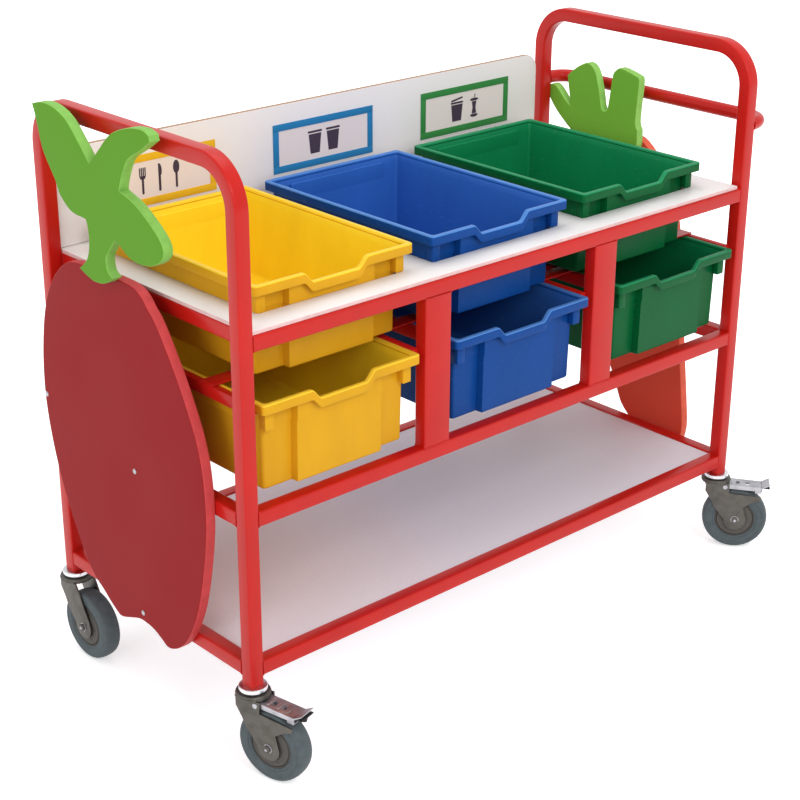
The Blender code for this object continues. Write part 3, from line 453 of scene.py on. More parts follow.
def quarter(start, end, hollow, steps=3):
    """A quarter turn between two points, bent one way or the other."""
    points = []
    for cosine, sine in arc(0, 0, 1, 0, 90, steps):
        shares = (sine, 1 - cosine) if hollow else (1 - cosine, sine)
        points.append(tuple(a + (b - a) * share for a, b, share in zip(start, end, shares)))
    return points


def dome_screw(bm, place, direction, radius):
    """A domed head with a dimple, standing on a thin washer."""
    dome = [*arc(0, 0, 1, 0, 70, 4), (0.2, 0.72), (0, 0.5)]
    profile = [(radius * 1.25, 0), (radius * 1.25, 0.0006), (radius, 0.0007)]
    profile += [(radius * x, 0.0008 + SCREW_HEIGHT * y) for x, y in dome]
    turned(bm, profile, place, direction, 20)


def hex_head(bm, place, direction, radius, height):
    """A chamfered hexagon head on its washer."""
    washer = [(radius * 1.3, 0), (radius * 1.3, 0.0010), (radius * 1.22, 0.0012), (0, 0.0012)]
    turned(bm, washer, place, direction, 24)
    head = [(radius, 0.0011), (radius, height * 0.8), (radius * 0.86, height), (0, height)]
    turned(bm, head, place, direction, 6)


# ------------------------------------------------------- CAD nodes' finish

OWN_FINISHES = {
    "top_shelf": WHITE_SHELF,
    "rear_panel": WHITE_PANEL,
    # the right leaf takes a lighter copy of the leaf green, painted light for the shade it lies in
    "right_end_leaf": LEAF_PAINTED_LIGHT,
}
FINISHES = {
    "zinc_steel": ZINC,
    "bright_steel": BRIGHT,
    "hub_plastic": HUB,
    "grey_rubber": RUBBER,
    "red_paint": RED,
    "grey_board": GREY_SHELF,
    "dark_red_board": DARK_RED,
    "leaf_green_board": LEAF_GREEN,
    "orange_board": ORANGE,
    **{f"{colour}_plastic": PLASTICS[colour] for colour in COLOURS},
}
SLOTS = {part["node"]: part["material_slot"] for part in frame["record"]["subparts"]}
JOIN_DISTANCE = 0.00002
EASED_ANGLE = radians(40)


def finish_of(node):
    return OWN_FINISHES.get(node) or FINISHES[SLOTS[node]]


def body_of(node):
    return NODES[node]["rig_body"]


for name, obj in NODES.items():
    set_material(obj, finish_of(name))


def stand_in(bm, node, angle=35):
    """Makes a finer piece and shows it in place of the CAD node."""
    piece = piece_from(bm, f"{node}_piece", finish_of(node), body_of(node), angle)
    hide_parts(node)
    return piece


def node_builder(node):
    """The node's own surface, with its split corners joined again."""
    bm = bmesh.new()
    bm.from_mesh(NODES[node].data)
    bmesh.ops.remove_doubles(bm, verts=bm.verts[:], dist=JOIN_DISTANCE)
    return bm


def eased(node, width, segments=2):
    """The node with its sharp edges eased, so that they catch the light."""
    bm = node_builder(node)
    bmesh.ops.dissolve_limit(
        bm, angle_limit=radians(1), verts=bm.verts[:], edges=bm.edges[:]
    )
    sharp = [
        edge for edge in bm.edges
        if len(edge.link_faces) == 2 and edge.calc_face_angle(0) > EASED_ANGLE
    ]
    bmesh.ops.bevel(
        bm, geom=sharp, offset=width, offset_type="OFFSET", segments=segments,
        affect="EDGES", profile=0.5, clamp_overlap=True,
    )
    bmesh.ops.triangulate(bm, faces=[face for face in bm.faces if len(face.verts) > 4])
    return stand_in(bm, node, 50)


# -------------------------------------------------------------- the frame

TUBE = 0.025
TUBE_CORNER = 0.003
TUBE_STEPS = 4
HOOP_BEND = 0.0675
HOOP_STEPS = 22
STRIP_EASE = 0.0006
SPACER_EASE = 0.0008
# the leaf's spacer ends this far behind its solid's front side, where it showed beside the leaf
SPACER_CUT = 0.014
BEAD = 0.0012
BEAD_SIDES = 6
BEAD_RIPPLE = 0.16
BEAD_PITCH = 0.0024

beads = bmesh.new()


def swept(bm, stations, width, height):
    """A rounded square tube through stations of (middle, across, up)."""
    outline = rounded_outline(width, height, TUBE_CORNER, TUBE_STEPS)
    rings = []
    for middle, across, up in stations:
        rings.append([bm.verts.new(middle + across * x + up * y) for x, y in outline])
    loft(bm, rings)
    bm.faces.new(rings[0])
    bm.faces.new(rings[-1])


def make_hoop(node):
    """The bent end tube, with smooth bends."""
    low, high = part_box(node)
    middle = (low.x + high.x) / 2
    front, rear = low.y + TUBE / 2, high.y - TUBE / 2
    bend_z = high.z - TUBE / 2 - HOOP_BEND
    stations = [(Vector((middle, front, low.z)), X, -Y)]
    for centre, start in ((front + HOOP_BEND, 180), (rear - HOOP_BEND, 90)):
        for point in arc(0, 0, 1, start, -90, HOOP_STEPS):
            outward = Vector((0, *point))
            stations.append((Vector((middle, centre, bend_z)) + outward * HOOP_BEND, X, outward))
    stations.append((Vector((middle, rear, low.z)), X, Y))
    bm = bmesh.new()
    swept(bm, stations, TUBE, TUBE)
    stand_in(bm, node, 60)


def add_beads(node, axis):
    """A weld bead round each end of a straight tube."""
    start, end, half = node_ends(node, axis)
    first = 0 if axis == 2 else 2
    second = 3 - axis - first
    across, up = AXES[first], AXES[axis].cross(AXES[first])
    outline = rounded_outline(2 * half[first], 2 * half[second], TUBE_CORNER, 3)
    dense = []
    for (x, y), (next_x, next_y) in zip(outline, outline[1:] + outline[:1]):
        pieces = max(1, round(hypot(next_x - x, next_y - y) / BEAD_PITCH))
        for step in range(pieces):
            share = step / pieces
            dense.append(across * (x + (next_x - x) * share) + up * (y + (next_y - y) * share))
    if len(dense) % 2:
        dense.pop()
    for place in (start, end):
        tube(beads, [place + point for point in dense], BEAD, BEAD_SIDES, BEAD_RIPPLE, True)


def make_straight_tube(node, axis):
    start, end, half = node_ends(node, axis)
    first, second = (other for other in range(3) if other != axis)
    across, up = AXES[first], AXES[second]
    bm = bmesh.new()
    swept(bm, [(start, across, up), (end, across, up)], 2 * half[first], 2 * half[second])
    stand_in(bm, node, 60)
    add_beads(node, axis)


for end in ("left", "right"):
    make_hoop(f"{end}_hoop")
for level in ("top", "mid", "bottom"):
    for place in ("front", "rear"):
        make_straight_tube(f"{place}_{level}_rail", 0)
    for place in ("left", "right"):
        make_straight_tube(f"{place}_{level}_side_rail", 1)
for place in ("front", "rear"):
    for side in ("left", "right"):
        make_straight_tube(f"{place}_{side}_upright", 2)
    eased(f"{place}_tie_strip", STRIP_EASE)
for bay in (1, 2, 3):
    for side in ("left", "right"):
        eased(f"bay_{bay}_{side}_runner", STRIP_EASE)
eased("top_shelf", 0.0009, 3)
eased("bottom_shelf", 0.0008)
eased("rear_panel", 0.0012, 3)
spacer = eased("left_leaf_spacer", SPACER_EASE)
spacer_middle = sum(vertex.co.y for vertex in spacer.data.vertices) / len(spacer.data.vertices)
for vertex in spacer.data.vertices:
    if vertex.co.y < spacer_middle:
        vertex.co.y += SPACER_CUT
eased("right_carrot_spacer", SPACER_EASE)


# --------------------------------------------------------- the push handle

HANDLE_RADIUS = 0.0125
HANDLE_BEND = 0.040
HANDLE_STEPS = 18
HANDLE_SIDES = 28
HANDLE_BEAD = 0.0015
HANDLE_BEAD_POINTS = 34
HANDLE_BEAD_RIPPLE = 0.18
HANDLE_BEAD_LIFT = 0.0006


def make_handle():
    low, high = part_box("push_handle")
    z = (low.z + high.z) / 2
    out = high.x - HANDLE_RADIUS - HANDLE_BEND
    front, rear = low.y + HANDLE_RADIUS, high.y - HANDLE_RADIUS
    path = [
        (low.x, front),
        *arc(out, front + HANDLE_BEND, HANDLE_BEND, -90, 90, HANDLE_STEPS),
        *arc(out, rear - HANDLE_BEND, HANDLE_BEND, 0, 90, HANDLE_STEPS),
        (low.x, rear),
    ]
    bm = bmesh.new()
    tube(bm, [Vector((x, y, z)) for x, y in path], HANDLE_RADIUS, HANDLE_SIDES)
    stand_in(bm, "push_handle", 50)
    bm = bmesh.new()
    x = low.x + HANDLE_BEAD_LIFT
    for y in (front, rear):
        ring = circle(y, z, HANDLE_RADIUS + HANDLE_BEAD_LIFT, HANDLE_BEAD_POINTS)
        path = [Vector((x, *point)) for point in ring]
        tube(bm, path, HANDLE_BEAD, BEAD_SIDES, HANDLE_BEAD_RIPPLE, True)
    piece_from(bm, "handle_weld_beads", RED, "frame", 80)


make_handle()
piece_from(beads, "rail_weld_beads", RED, "frame", 80)


# --------------------------------------------------------------- end boards

BOARD_EDGE = 0.0022
BOARD_EDGE_STEPS = 3
BOARD_FLAT = 0.0004
BOARD_NEAR = 0.0024
BOARD_FACE_NEAR = 0.00005
CURVE_STEPS = 4
CORNER_ANGLE = radians(50)
CORNER_REACH = 0.012
CORNER_SHARE = 0.12
MITRE_LEAST = 0.6
# (height, how far the body's front edge is drawn in from its solid there), read from the photo
BODY_PULL = (
    (0.15, 0.012), (0.20, 0.017), (0.45, 0.017), (0.52, 0.015), (0.56, 0.010), (0.62, 0.005),
    (0.70, 0.005), (0.76, 0),
)


def board_outline(node):
    """The (Y, Z) points round the node's left face, in order."""
    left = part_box(node)[0].x
    bm = node_builder(node)

    def is_left(face):
        return all(abs(vertex.co.x - left) < BOARD_FACE_NEAR for vertex in face.verts)

    following = {}
    for face in filter(is_left, bm.faces):
        for loop in face.loops:
            if not is_left(loop.link_loop_radial_next.face):
                following[loop.vert.index] = loop.link_loop_next.vert.index
    places = {vertex.index: Vector((vertex.co.y, vertex.co.z)) for vertex in bm.verts}
    bm.free()
    start = min(following)
    outline, here = [], start
    while True:
        outline.append(places[here])
        here = following[here]
        if here == start:
            return outline


def turns_at(outline, index):
    """The angle by which the outline turns at a point."""
    before = outline[index] - outline[index - 1]
    after = outline[(index + 1) % len(outline)] - outline[index]
    return before.angle(after)


def refined(outline):
    """More points on the same smooth curve, with its corners kept."""
    outline = [
        point for index, point in enumerate(outline)
        if (point - outline[index - 1]).length > BOARD_NEAR
    ]
    count = len(outline)
    corners = [turns_at(outline, index) > CORNER_ANGLE for index in range(count)]
    finer = []
    for index in range(count):
        start, end = outline[index], outline[(index + 1) % count]
        before = start if corners[index] else outline[index - 1]
        after = end if corners[(index + 1) % count] else outline[(index + 2) % count]
        for step in range(CURVE_STEPS):
            along = step / CURVE_STEPS
            square = 2 * before - 5 * start + 4 * end - after
            cubic = after - before + 3 * (start - end)
            rest = (end - before) + (square + cubic * along) * along
            finer.append(start + rest * along / 2)
    return finer


def edge_shares(outline):
    """How much of the edge's rounding each point gets: less beside the sharp corners."""
    corners = [
        point for index, point in enumerate(outline) if turns_at(outline, index) > CORNER_ANGLE
    ]
    shares = []
    for point in outline:
        reach = min(((point - corner).length for corner in corners), default=CORNER_REACH)
        shares.append(min(1, CORNER_SHARE + (1 - CORNER_SHARE) * reach / CORNER_REACH))
    return shares


def inset(outline, shares, amount):
    """The outline moved inwards by shares of the amount."""
    turning = sum(a.x * b.y - a.y * b.x for a, b in zip(outline, outline[1:] + outline[:1]))
    side = 1 if turning > 0 else -1
    moved = []
    for index, (point, share) in enumerate(zip(outline, shares)):
        before = (point - outline[index - 1]).normalized()
        after = (outline[(index + 1) % len(outline)] - point).normalized()
        along = (before + after).normalized()
        inwards = Vector((-along.y, along.x)) * side
        moved.append(point + inwards * amount * share / max(MITRE_LEAST, along.dot(after)))
    return moved


def drawn_in(outline):
    """The body's outline with the front half of its lower part drawn in."""
    front = min(point.x for point in outline)
    middle = (front + max(point.x for point in outline)) / 2
    moved = []
    for point in outline:
        pull = 0
        for (low, first), (high, second) in zip(BODY_PULL, BODY_PULL[1:]):
            if low <= point.y < high:
                pull = first + (second - first) * smooth_step((point.y - low) / (high - low))
        share = max(0, (middle - point.x) / (middle - front))
        moved.append(Vector((point.x + pull * share, point.y)))
    return moved


def make_board(node):
    """A sawn board with routed, rounded edges on both faces."""
    low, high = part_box(node)
    outline = board_outline(node)
    if node == "left_end_body":
        outline = drawn_in(outline)
    outline = refined(outline)
    shares = edge_shares(outline)
    levels = [(BOARD_EDGE + BOARD_FLAT, 0)]
    levels += quarter((BOARD_EDGE, 0), (0, BOARD_EDGE), True, BOARD_EDGE_STEPS)
    rings = [(low.x + rise, amount) for amount, rise in levels]
    rings += [(high.x - rise, amount) for amount, rise in reversed(levels)]
    bm = bmesh.new()
    loops = []
    for x, amount in rings:
        points = inset(outline, shares, amount)
        loops.append([bm.verts.new((x, point.x, point.y)) for point in points])
    loft(bm, loops)
    triangles = filling(outline)
    cap(bm, loops[0], triangles)
    cap(bm, loops[-1], triangles)
    stand_in(bm, node, 40)


for node in ("left_end_body", "left_end_leaf", "right_end_carrot", "right_end_leaf"):
    make_board(node)


# ------------------------------------------------------------------- trays

# sizes that part.py has too, and finer ones that only the eye needs
TRAY_WIDTH = 0.312
TRAY_LENGTH = 0.427
TRAY_HEIGHT = 0.150
WALL = 0.0025
FLOOR = 0.0028
OUTER_CORNER = 0.0065
CORNER_SHRINK = 0.1
LIP = 0.016
LIP_WALL = 0.0025
RIM_WIDTH = 0.0075
RIM_THICKNESS = 0.0035
RIM_ROUND = 0.0020
SHOULDER = 0.0108
SHOULDER_HEIGHT = 0.0465
LEDGE = 0.0047
DRAFT = 0.0015
FLOOR_ROUND = 0.004
RECESS = 0.0135
PANEL_HALF = 0.084
PANEL_STEP = 0.0015
DIP = 0.0165
DIP_LOW_HALF = TRAY_WIDTH * 0.14
DIP_SLOPE = TRAY_WIDTH * 0.065
TRAY_CORNER_STEPS = 6
DIP_STEPS = 12
POST_WIDTH = 0.0165
POST_BACK = 0.0003
POST_ROUND = 0.0010
LIP_ROUND = 0.0008
# the rim's inner edge: how far past the rim's width it starts, and how far below the top
RIM_INNER_RUN = 0.0012
RIM_INNER_DROP = 0.0018
# levels of the rim, counted from the inner floor, which carry the rim's painted highlight; those
# before them are the inside, which carries the inside's painted light
RIM_LEVELS = range(8, 16)
# material slots for the rim's painted highlight and the inside's painted light
RIM_HIGHLIGHT_SLOT, INSIDE_LIGHT_SLOT = 1, 2
REAR_PANEL_HALF = 0.108
REAR_PANEL_STEP = 0.0038
REAR_PANEL_TOP = 0.0125
REAR_PANEL_ROUND = 0.0014


def tray_ring(side, front, panel, panel_half, z, dip):
    """One level of a tray about the middle of its rim."""
    corner = OUTER_CORNER - side * CORNER_SHRINK
    half_x = TRAY_WIDTH / 2 - side
    front_y = -TRAY_LENGTH / 2 + front
    panel_y = -TRAY_LENGTH / 2 + panel
    rear_y = TRAY_LENGTH / 2 - side
    ring = []

    def add_corner(x, y, start):
        ring.extend((*point, z) for point in arc(x, y, corner, start, 90, TRAY_CORNER_STEPS))

    add_corner(-half_x + corner, front_y + corner, 180)
    ring.append((-panel_half - PANEL_STEP, front_y, z))
    ring.append((-panel_half, panel_y, z))
    slope = []
    for step in range(DIP_STEPS + 1):
        share = step / DIP_STEPS
        slope.append((DIP_LOW_HALF + DIP_SLOPE * (1 - share), z - dip * smooth_step(share)))
    ring += [(-x, panel_y, height) for x, height in slope]
    ring += [(x, panel_y, height) for x, height in reversed(slope)]
    ring.append((panel_half, panel_y, z))
    ring.append((panel_half + PANEL_STEP, front_y, z))
    add_corner(half_x - corner, front_y + corner, -90)
    add_corner(half_x - corner, rear_y - corner, 0)
    add_corner(-half_x + corner, rear_y - corner, 90)
    return ring


def tray_levels():
    """(side, front, panel, panel half, z, dip) of a tray's levels, from its inner floor out."""
    side, panel = SHOULDER + LEDGE, SHOULDER + DRAFT
    front = SHOULDER + RECESS
    inner_half = PANEL_HALF - WALL
    floor_z = FLOOR - TRAY_HEIGHT
    levels = []
    for extra, rise in quarter((FLOOR_ROUND, 0), (0, FLOOR_ROUND), True, 4):
        inwards = DRAFT + WALL + extra
        levels.append((
            side + inwards, front + DRAFT + inwards, panel + inwards, inner_half - extra,
            floor_z + rise, 0,
        ))
    outer = (side + WALL, front + DRAFT + WALL, panel + WALL)
    levels.append((*outer, inner_half, -SHOULDER_HEIGHT, 0))
    inner = SHOULDER + WALL
    under_lip = -LIP - RIM_ROUND
    levels.append((inner, front + WALL, inner, inner_half, under_lip, DIP))
    middle = SHOULDER + WALL / 2
    levels.append((middle, middle, middle, inner_half, -RIM_THICKNESS - RIM_WIDTH / 2, DIP))
    round_over = quarter(
        (RIM_WIDTH + RIM_INNER_RUN, -RIM_INNER_DROP), (RIM_WIDTH - LIP_ROUND, 0), False
    )
    round_over += quarter((RIM_ROUND, 0), (0, -RIM_ROUND), True, 4)
    round_over += quarter((0, LIP_ROUND - LIP), (LIP_ROUND, -LIP), False, 2)
    round_over += [(LIP_WALL, -LIP), (LIP_WALL, -RIM_THICKNESS), (SHOULDER, -RIM_THICKNESS)]
    for setback, z in round_over:
        levels.append((setback, setback, setback, PANEL_HALF, z, DIP))
    levels += [
        (SHOULDER, front, SHOULDER, PANEL_HALF, RIM_ROUND - LIP, DIP),
        (SHOULDER, front, SHOULDER, PANEL_HALF, POST_ROUND - SHOULDER_HEIGHT, 0),
        (SHOULDER + LIP_ROUND, front, SHOULDER, PANEL_HALF, -SHOULDER_HEIGHT, 0),
        (side, front + DRAFT, panel, PANEL_HALF, -SHOULDER_HEIGHT, 0),
    ]
    for extra, rise in quarter((0, FLOOR_ROUND), (FLOOR_ROUND, 0), False, 4):
        levels.append((
            side + DRAFT + extra, front + 2 * DRAFT + extra, panel + DRAFT + extra,
            PANEL_HALF - extra, rise - TRAY_HEIGHT, 0,
        ))
    return levels


def make_tray(node):
    low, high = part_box(node)
    middle = Vector(((low.x + high.x) / 2, (low.y + high.y) / 2, high.z))
    bm = bmesh.new()
    loops = []
    for level in tray_levels():
        loops.append([bm.verts.new(middle + Vector(point)) for point in tray_ring(*level)])
    # the rim's levels take the painted highlight, the inside's levels and its floor the painted
    # light
    for level, faces in enumerate(loft(bm, loops)):
        for face in faces:
            if level in RIM_LEVELS:
                face.material_index = RIM_HIGHLIGHT_SLOT
            elif level < RIM_LEVELS[0]:
                face.material_index = INSIDE_LIGHT_SLOT
    for face in cap(bm, loops[0], filling([vertex.co.xy for vertex in loops[0]])):
        face.material_index = INSIDE_LIGHT_SLOT
    cap(bm, loops[-1], filling([vertex.co.xy for vertex in loops[-1]]))
    front = middle.y - TRAY_LENGTH / 2
    for sign in (-1, 1):
        outer = middle.x + sign * (TRAY_WIDTH / 2 - SHOULDER)
        inner = outer - sign * POST_WIDTH
        rounded_block(
            bm,
            (min(outer, inner), front + SHOULDER + POST_BACK, high.z - SHOULDER_HEIGHT),
            (max(outer, inner), front + SHOULDER + RECESS + WALL / 2, high.z - LIP - RIM_ROUND),
            POST_ROUND,
        )
    # the stepped panel inside the rear wall
    known = len(bm.faces)
    rear = middle.y + TRAY_LENGTH / 2 - SHOULDER - WALL
    rounded_block(
        bm,
        (middle.x - REAR_PANEL_HALF, rear - REAR_PANEL_STEP, high.z - SHOULDER_HEIGHT - LEDGE),
        (middle.x + REAR_PANEL_HALF, rear + WALL / 2, high.z - REAR_PANEL_TOP),
        REAR_PANEL_ROUND, 3,
    )
    # the rear panel inside takes the inside's painted light
    for face in list(bm.faces)[known:]:
        face.material_index = INSIDE_LIGHT_SLOT
    tray = stand_in(bm, node, 32)
    # the tray's second and third materials: the rim's painted highlight and the inside's painted
    # light
    for finish in (RIM_HIGHLIGHTS, INSIDE_PAINTED_LIGHTS):
        tray.data.materials.append(finish[node.split("_")[0]])


for colour in COLOURS:
    make_tray(f"{colour}_upper_tray")
    make_tray(f"{colour}_lower_tray")


# ----------------------------------------------------------------- casters

TYRE_SHOULDER = (0.0547, 0.0093)
TYRE_ROUND = 0.0067
TYRE_ROUND_TURN = 74
TYRE_ROUND_STEPS = 6
HUB_DISC_HALF = 0.0146
CHEEK_OUTER = 0.0205
WHEEL_STEPS = 72
STEM_STEPS = 56
RIVETS = 6
RIVET_REACH = 0.0265
FORK_EASE = 0.0005
CUP_DROP = 0.0101
# the pedal's pin, ahead of the swivel and above the floor
PIN_REACH = 0.018
PIN_HEIGHT = 0.1318
SIDE_PLACE = 0.0149
SIDE_DEPTH = 0.0014
RIB_HALF = 0.0105
RIB_ROUND = 0.0007

# profiles of (radius, height along the axis)
TYRE_SIDE = [
    (0.0380, 0.0134), (0.0388, 0.0144), (0.0422, 0.0148), (0.0432, 0.0158), (0.0450, 0.0160),
    (0.0515, 0.0160), (0.0521, 0.0155), (0.0531, 0.0155), (0.0537, 0.0160),
]
TYRE_TREAD = [(0.0621, 0.0070), (0.0625, 0.0025)]
HUB_SIDE = [
    (0.0055, 0.0174), (0.0118, 0.0174), (0.0130, 0.0162), (0.0142, 0.0156), (0.0162, 0.0146),
    (0.0225, 0.0146), (0.0232, 0.0151), (0.0252, 0.0151), (0.0260, 0.0146), (0.0335, 0.0146),
    (0.0345, 0.0138), (0.0347, 0.0110), (0.0357, 0.0110), (0.0360, 0.0140), (0.0371, 0.0140),
    (0.0377, 0.0134),
]
RIVET = [(0.0018, -0.0004), (0.0018, 0.0006), (0.0013, 0.0010), (0, 0.0010)]
# the collar's points are (distance inside its rim, height)
COLLAR = [
    (0.0035, -0.0095), (0.0032, -0.0084), (0.0010, -0.0080), (0, -0.0070), (0, -0.0022),
    (0.0004, -0.0012), (0.0014, -0.0005), (0.0032, -0.0003),
]
STEM_FOOT = [
    (0, -0.0205), (0.0078, -0.0205), (0.0090, -0.0195), (0.0090, -0.0180), (0.0050, -0.0176),
    (0.0050, -0.0094), (0, -0.0094),
]
STEM_PLUG = [(0, -0.0004), (0.0104, -0.0004), (0.0104, 0.0400), (0, 0.0400)]
STUD_END = [(0, 0.0070), (0.0016, 0.0068), (0.0026, 0.0060), (0.0026, 0.0030)]
CUP_SEAL = [(0.0210, 0.0004), (0.0268, 0.0002), (0.0268, -0.0004), (0.0210, -0.0004)]
CUP_BEAD = [(0.0276, -0.0036), (0.0285, -0.0042), (0.0285, -0.0052), (0.0276, -0.0058)]
PIN_HEAD = [(0, 0.0012), (0.0042, 0.0010), (0.0046, 0.0004), (0.0046, -0.0006), (0, -0.0006)]
# the pedal's folded side, its ribs and its pads, measured forward, across and up from its pin
PEDAL_SIDE = [
    (0.006, 0.0012), (0.068, -0.0006), (0.068, -0.0072), (0.040, -0.0062), (0.006, -0.0046),
]
PEDAL_RIBS = ((0.012, 0.019, 0.0042), (0.030, 0.038, 0.0031), (0.050, 0.0555, 0.0018))
PEDAL_PADS = (
    ((0.0565, -0.0140, -0.0104), (0.0715, 0.0140, -0.0026), 0.0016),
    ((0.0700, -0.0155, -0.0016), (0.0860, 0.0155, 0.0004), 0.0006),
)


def both_sides(half):
    """A profile given from its bore to its rim on one side, with its mirror image."""
    mirrored = [(radius, -along) for radius, along in half]
    return mirrored + list(reversed(half))


def tyre_profile():
    shoulder = arc(*TYRE_SHOULDER, TYRE_ROUND, 90, -TYRE_ROUND_TURN, TYRE_ROUND_STEPS)
    return both_sides(TYRE_SIDE + shoulder[1:] + TYRE_TREAD)


def block_at(bm, place, directions, low, high, bevel):
    """A block with rounded edges, laid out along the caster's own directions."""
    start = len(bm.verts)
    rounded_block(bm, low, high, bevel)
    bm.verts.ensure_lookup_table()
    forward, across, up = directions
    for vertex in bm.verts[start:]:
        x, y, z = vertex.co
        vertex.co = place + forward * x + across * y + up * z


def make_wheel(name, axle, forward, across):
    bm = bmesh.new()
    turned(bm, tyre_profile(), axle, across, WHEEL_STEPS, True)
    stand_in(bm, f"{name}_caster_tyre", 30)
    bm = bmesh.new()
    turned(bm, both_sides(HUB_SIDE), axle, across, WHEEL_STEPS, True)
    for side in (-across, across):
        for x, y in circle(0, 0, RIVET_REACH, RIVETS):
            place = axle + side * HUB_DISC_HALF + forward * x + Z * y
            turned(bm, RIVET, place, side, 12)
    stand_in(bm, f"{name}_caster_hub", 30)


def make_stem(name, collar, leg):
    """The collar under the leg, the kingpin's foot below it and the plug inside the leg."""
    edge = [(collar - inside, height) for inside, height in COLLAR]
    bm = bmesh.new()
    turned(bm, [(0, edge[0][1]), *edge, (0, edge[-1][1])], leg, Z, STEM_STEPS)
    turned(bm, STEM_FOOT, leg, Z, 32)
    turned(bm, STEM_PLUG, leg, Z, 32)
    stand_in(bm, f"{name}_caster_stem", 30)


def make_fork(name, axle, across, cup_top):
    fork = f"{name}_caster_fork"
    eased(fork, FORK_EASE)
    bm = bmesh.new()
    for side in (-across, across):
        face = axle + side * (CHEEK_OUTER + 0.0001)
        hex_head(bm, face, side, 0.0060, 0.0046)
        turned(bm, STUD_END, face, side, 16)
    piece_from(bm, f"{name}_axle_nuts", PLATED, body_of(fork))
    bm = bmesh.new()
    turned(bm, CUP_SEAL, cup_top - Z * 0.0001, Z, STEM_STEPS, True)
    turned(bm, CUP_BEAD, cup_top, Z, STEM_STEPS, True)
    piece_from(bm, f"{name}_swivel_seal", ZINC, body_of(fork))


def make_pedal(name, pin, forward, across):
    pedal = f"{name}_brake_pedal"
    directions = (forward, across, Z)
    eased(pedal, FORK_EASE).data.materials[0] = PLATED
    bm = bmesh.new()
    for side in (-across, across):
        turned(bm, PIN_HEAD, pin + side * CHEEK_OUTER, side, 20)
        origin = pin + side * SIDE_PLACE
        outline_plate(bm, PEDAL_SIDE, origin, forward, Z, side * SIDE_DEPTH)
    for start, end, top in PEDAL_RIBS:
        low, high = (start, -RIB_HALF, 0), (end, RIB_HALF, top)
        block_at(bm, pin, directions, low, high, RIB_ROUND)
    piece_from(bm, f"{name}_pedal_ribs", PLATED, body_of(pedal))
    bm = bmesh.new()
    for low, high, bevel in PEDAL_PADS:
        block_at(bm, pin, directions, low, high, bevel)
    piece_from(bm, f"{name}_pedal_pad", BLACK, body_of(pedal))


def make_caster(name):
    stem_low, stem_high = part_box(f"{name}_caster_stem")
    tyre_low, tyre_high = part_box(f"{name}_caster_tyre")
    swivel = Vector(((stem_low.x + stem_high.x) / 2, (stem_low.y + stem_high.y) / 2, 0))
    axle = (tyre_low + tyre_high) / 2
    forward = Vector((axle.x - swivel.x, axle.y - swivel.y, 0)).normalized()
    across = Vector((-forward.y, forward.x, 0))
    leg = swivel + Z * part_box("left_hoop")[0].z
    make_wheel(name, axle, forward, across)
    make_stem(name, (stem_high.x - stem_low.x) / 2, leg)
    make_fork(name, axle, across, leg - Z * CUP_DROP)
    if f"{name}_brake_pedal" in NODES:
        make_pedal(name, swivel + forward * PIN_REACH + Z * PIN_HEIGHT, forward, across)


for name in CASTERS:
    make_caster(name)


# ------------------------------------------------------------ label cards

LABEL_HALF_WIDTH = 0.116
LABEL_HALF_HEIGHT = 0.044
LABEL_BORDER = 0.0125
CARD_CORNER = 0.003
CARD_INSET = 0.002
CARD_DEPTH = 0.0009
BORDER_FRONT = 0.0019
BORDER_BACK = 0.0003
BORDER_ROUND = 0.0005
CAPSULE_STEPS = 8
INK_BACK = 0.0008
INK_DEPTH = 0.0005
# each label's middle, along X from the root and above the floor
LABEL_PLACES = {"yellow": (0.225, 0.8205), "blue": (0.5825, 0.822), "green": (0.9355, 0.823)}


def capsule(x, y, length, radius, turn=90):
    """A rounded bar's outline, turned by degrees."""
    points = []
    for end_x, end_y in circle(0, 0, length / 2, 360)[turn::180]:
        points += arc(x + end_x, y + end_y, radius, turn - 90, 180, CAPSULE_STEPS)
        turn += 180
    return points


def symmetric(x, points):
    """An outline from the points of its right side, going up, and their mirror image."""
    right = [(x + reach, height) for reach, height in points]
    return right + [(x - reach, height) for reach, height in reversed(points)]


def cutlery_picture():
    """A fork, a knife and a spoon."""
    handles = [
        capsule(-0.034, -0.010, 0.024, 0.0021),
        capsule(0, -0.010, 0.024, 0.0023),
        capsule(0.034, -0.011, 0.022, 0.0021),
    ]
    tines = [capsule(-0.0394 + tine * 0.0036, 0.0145, 0.012, 0.0011) for tine in range(4)]
    root = [(-0.0405, 0.0075), (-0.0385, 0.002), (-0.0295, 0.002), (-0.0275, 0.0075)]
    blade = [
        (-0.0024, 0.003), (0.0036, 0.003), (0.0046, 0.010), (0.0040, 0.017),
        (0.0012, 0.0225), (-0.0024, 0.0235),
    ]
    bowl = [(0.034 + 0.0064 * x, 0.0115 + 0.0115 * y) for x, y in circle(0, 0, 1, 20)]
    return [*handles, *tines, root, blade, bowl]


def beaker_picture():
    """Two drinking beakers side by side."""
    shapes = []
    for x in (-0.021, 0.021):
        shapes.append(symmetric(x, [(0.0105, -0.021), (0.0145, 0.0145)]))
        shapes.append(capsule(x, 0.0185, 0.029, 0.0019, 0))
    return shapes


def waste_picture():
    """An open pedal bin beside an apple core."""
    x = -0.022
    shapes = [symmetric(x, [(0.0115, -0.0225), (0.0150, 0.0095)])]
    shapes.append(capsule(x, 0.0130, 0.029, 0.0018, 0))
    shapes.append(capsule(x, 0.0195, 0.027, 0.0017, 9))
    x = 0.024
    for points in (
        [(0.006, 0.0100), (0.012, 0.0125), (0.006, 0.0155)],
        [(0.006, -0.0145), (0.0038, -0.003), (0.006, 0.0090)],
        [(0.005, -0.0215), (0.011, -0.0175), (0.006, -0.0155)],
    ):
        shapes.append(symmetric(x, points))
    shapes.append(capsule(x + 0.0015, 0.0200, 0.0055, 0.0010, 78))
    return shapes


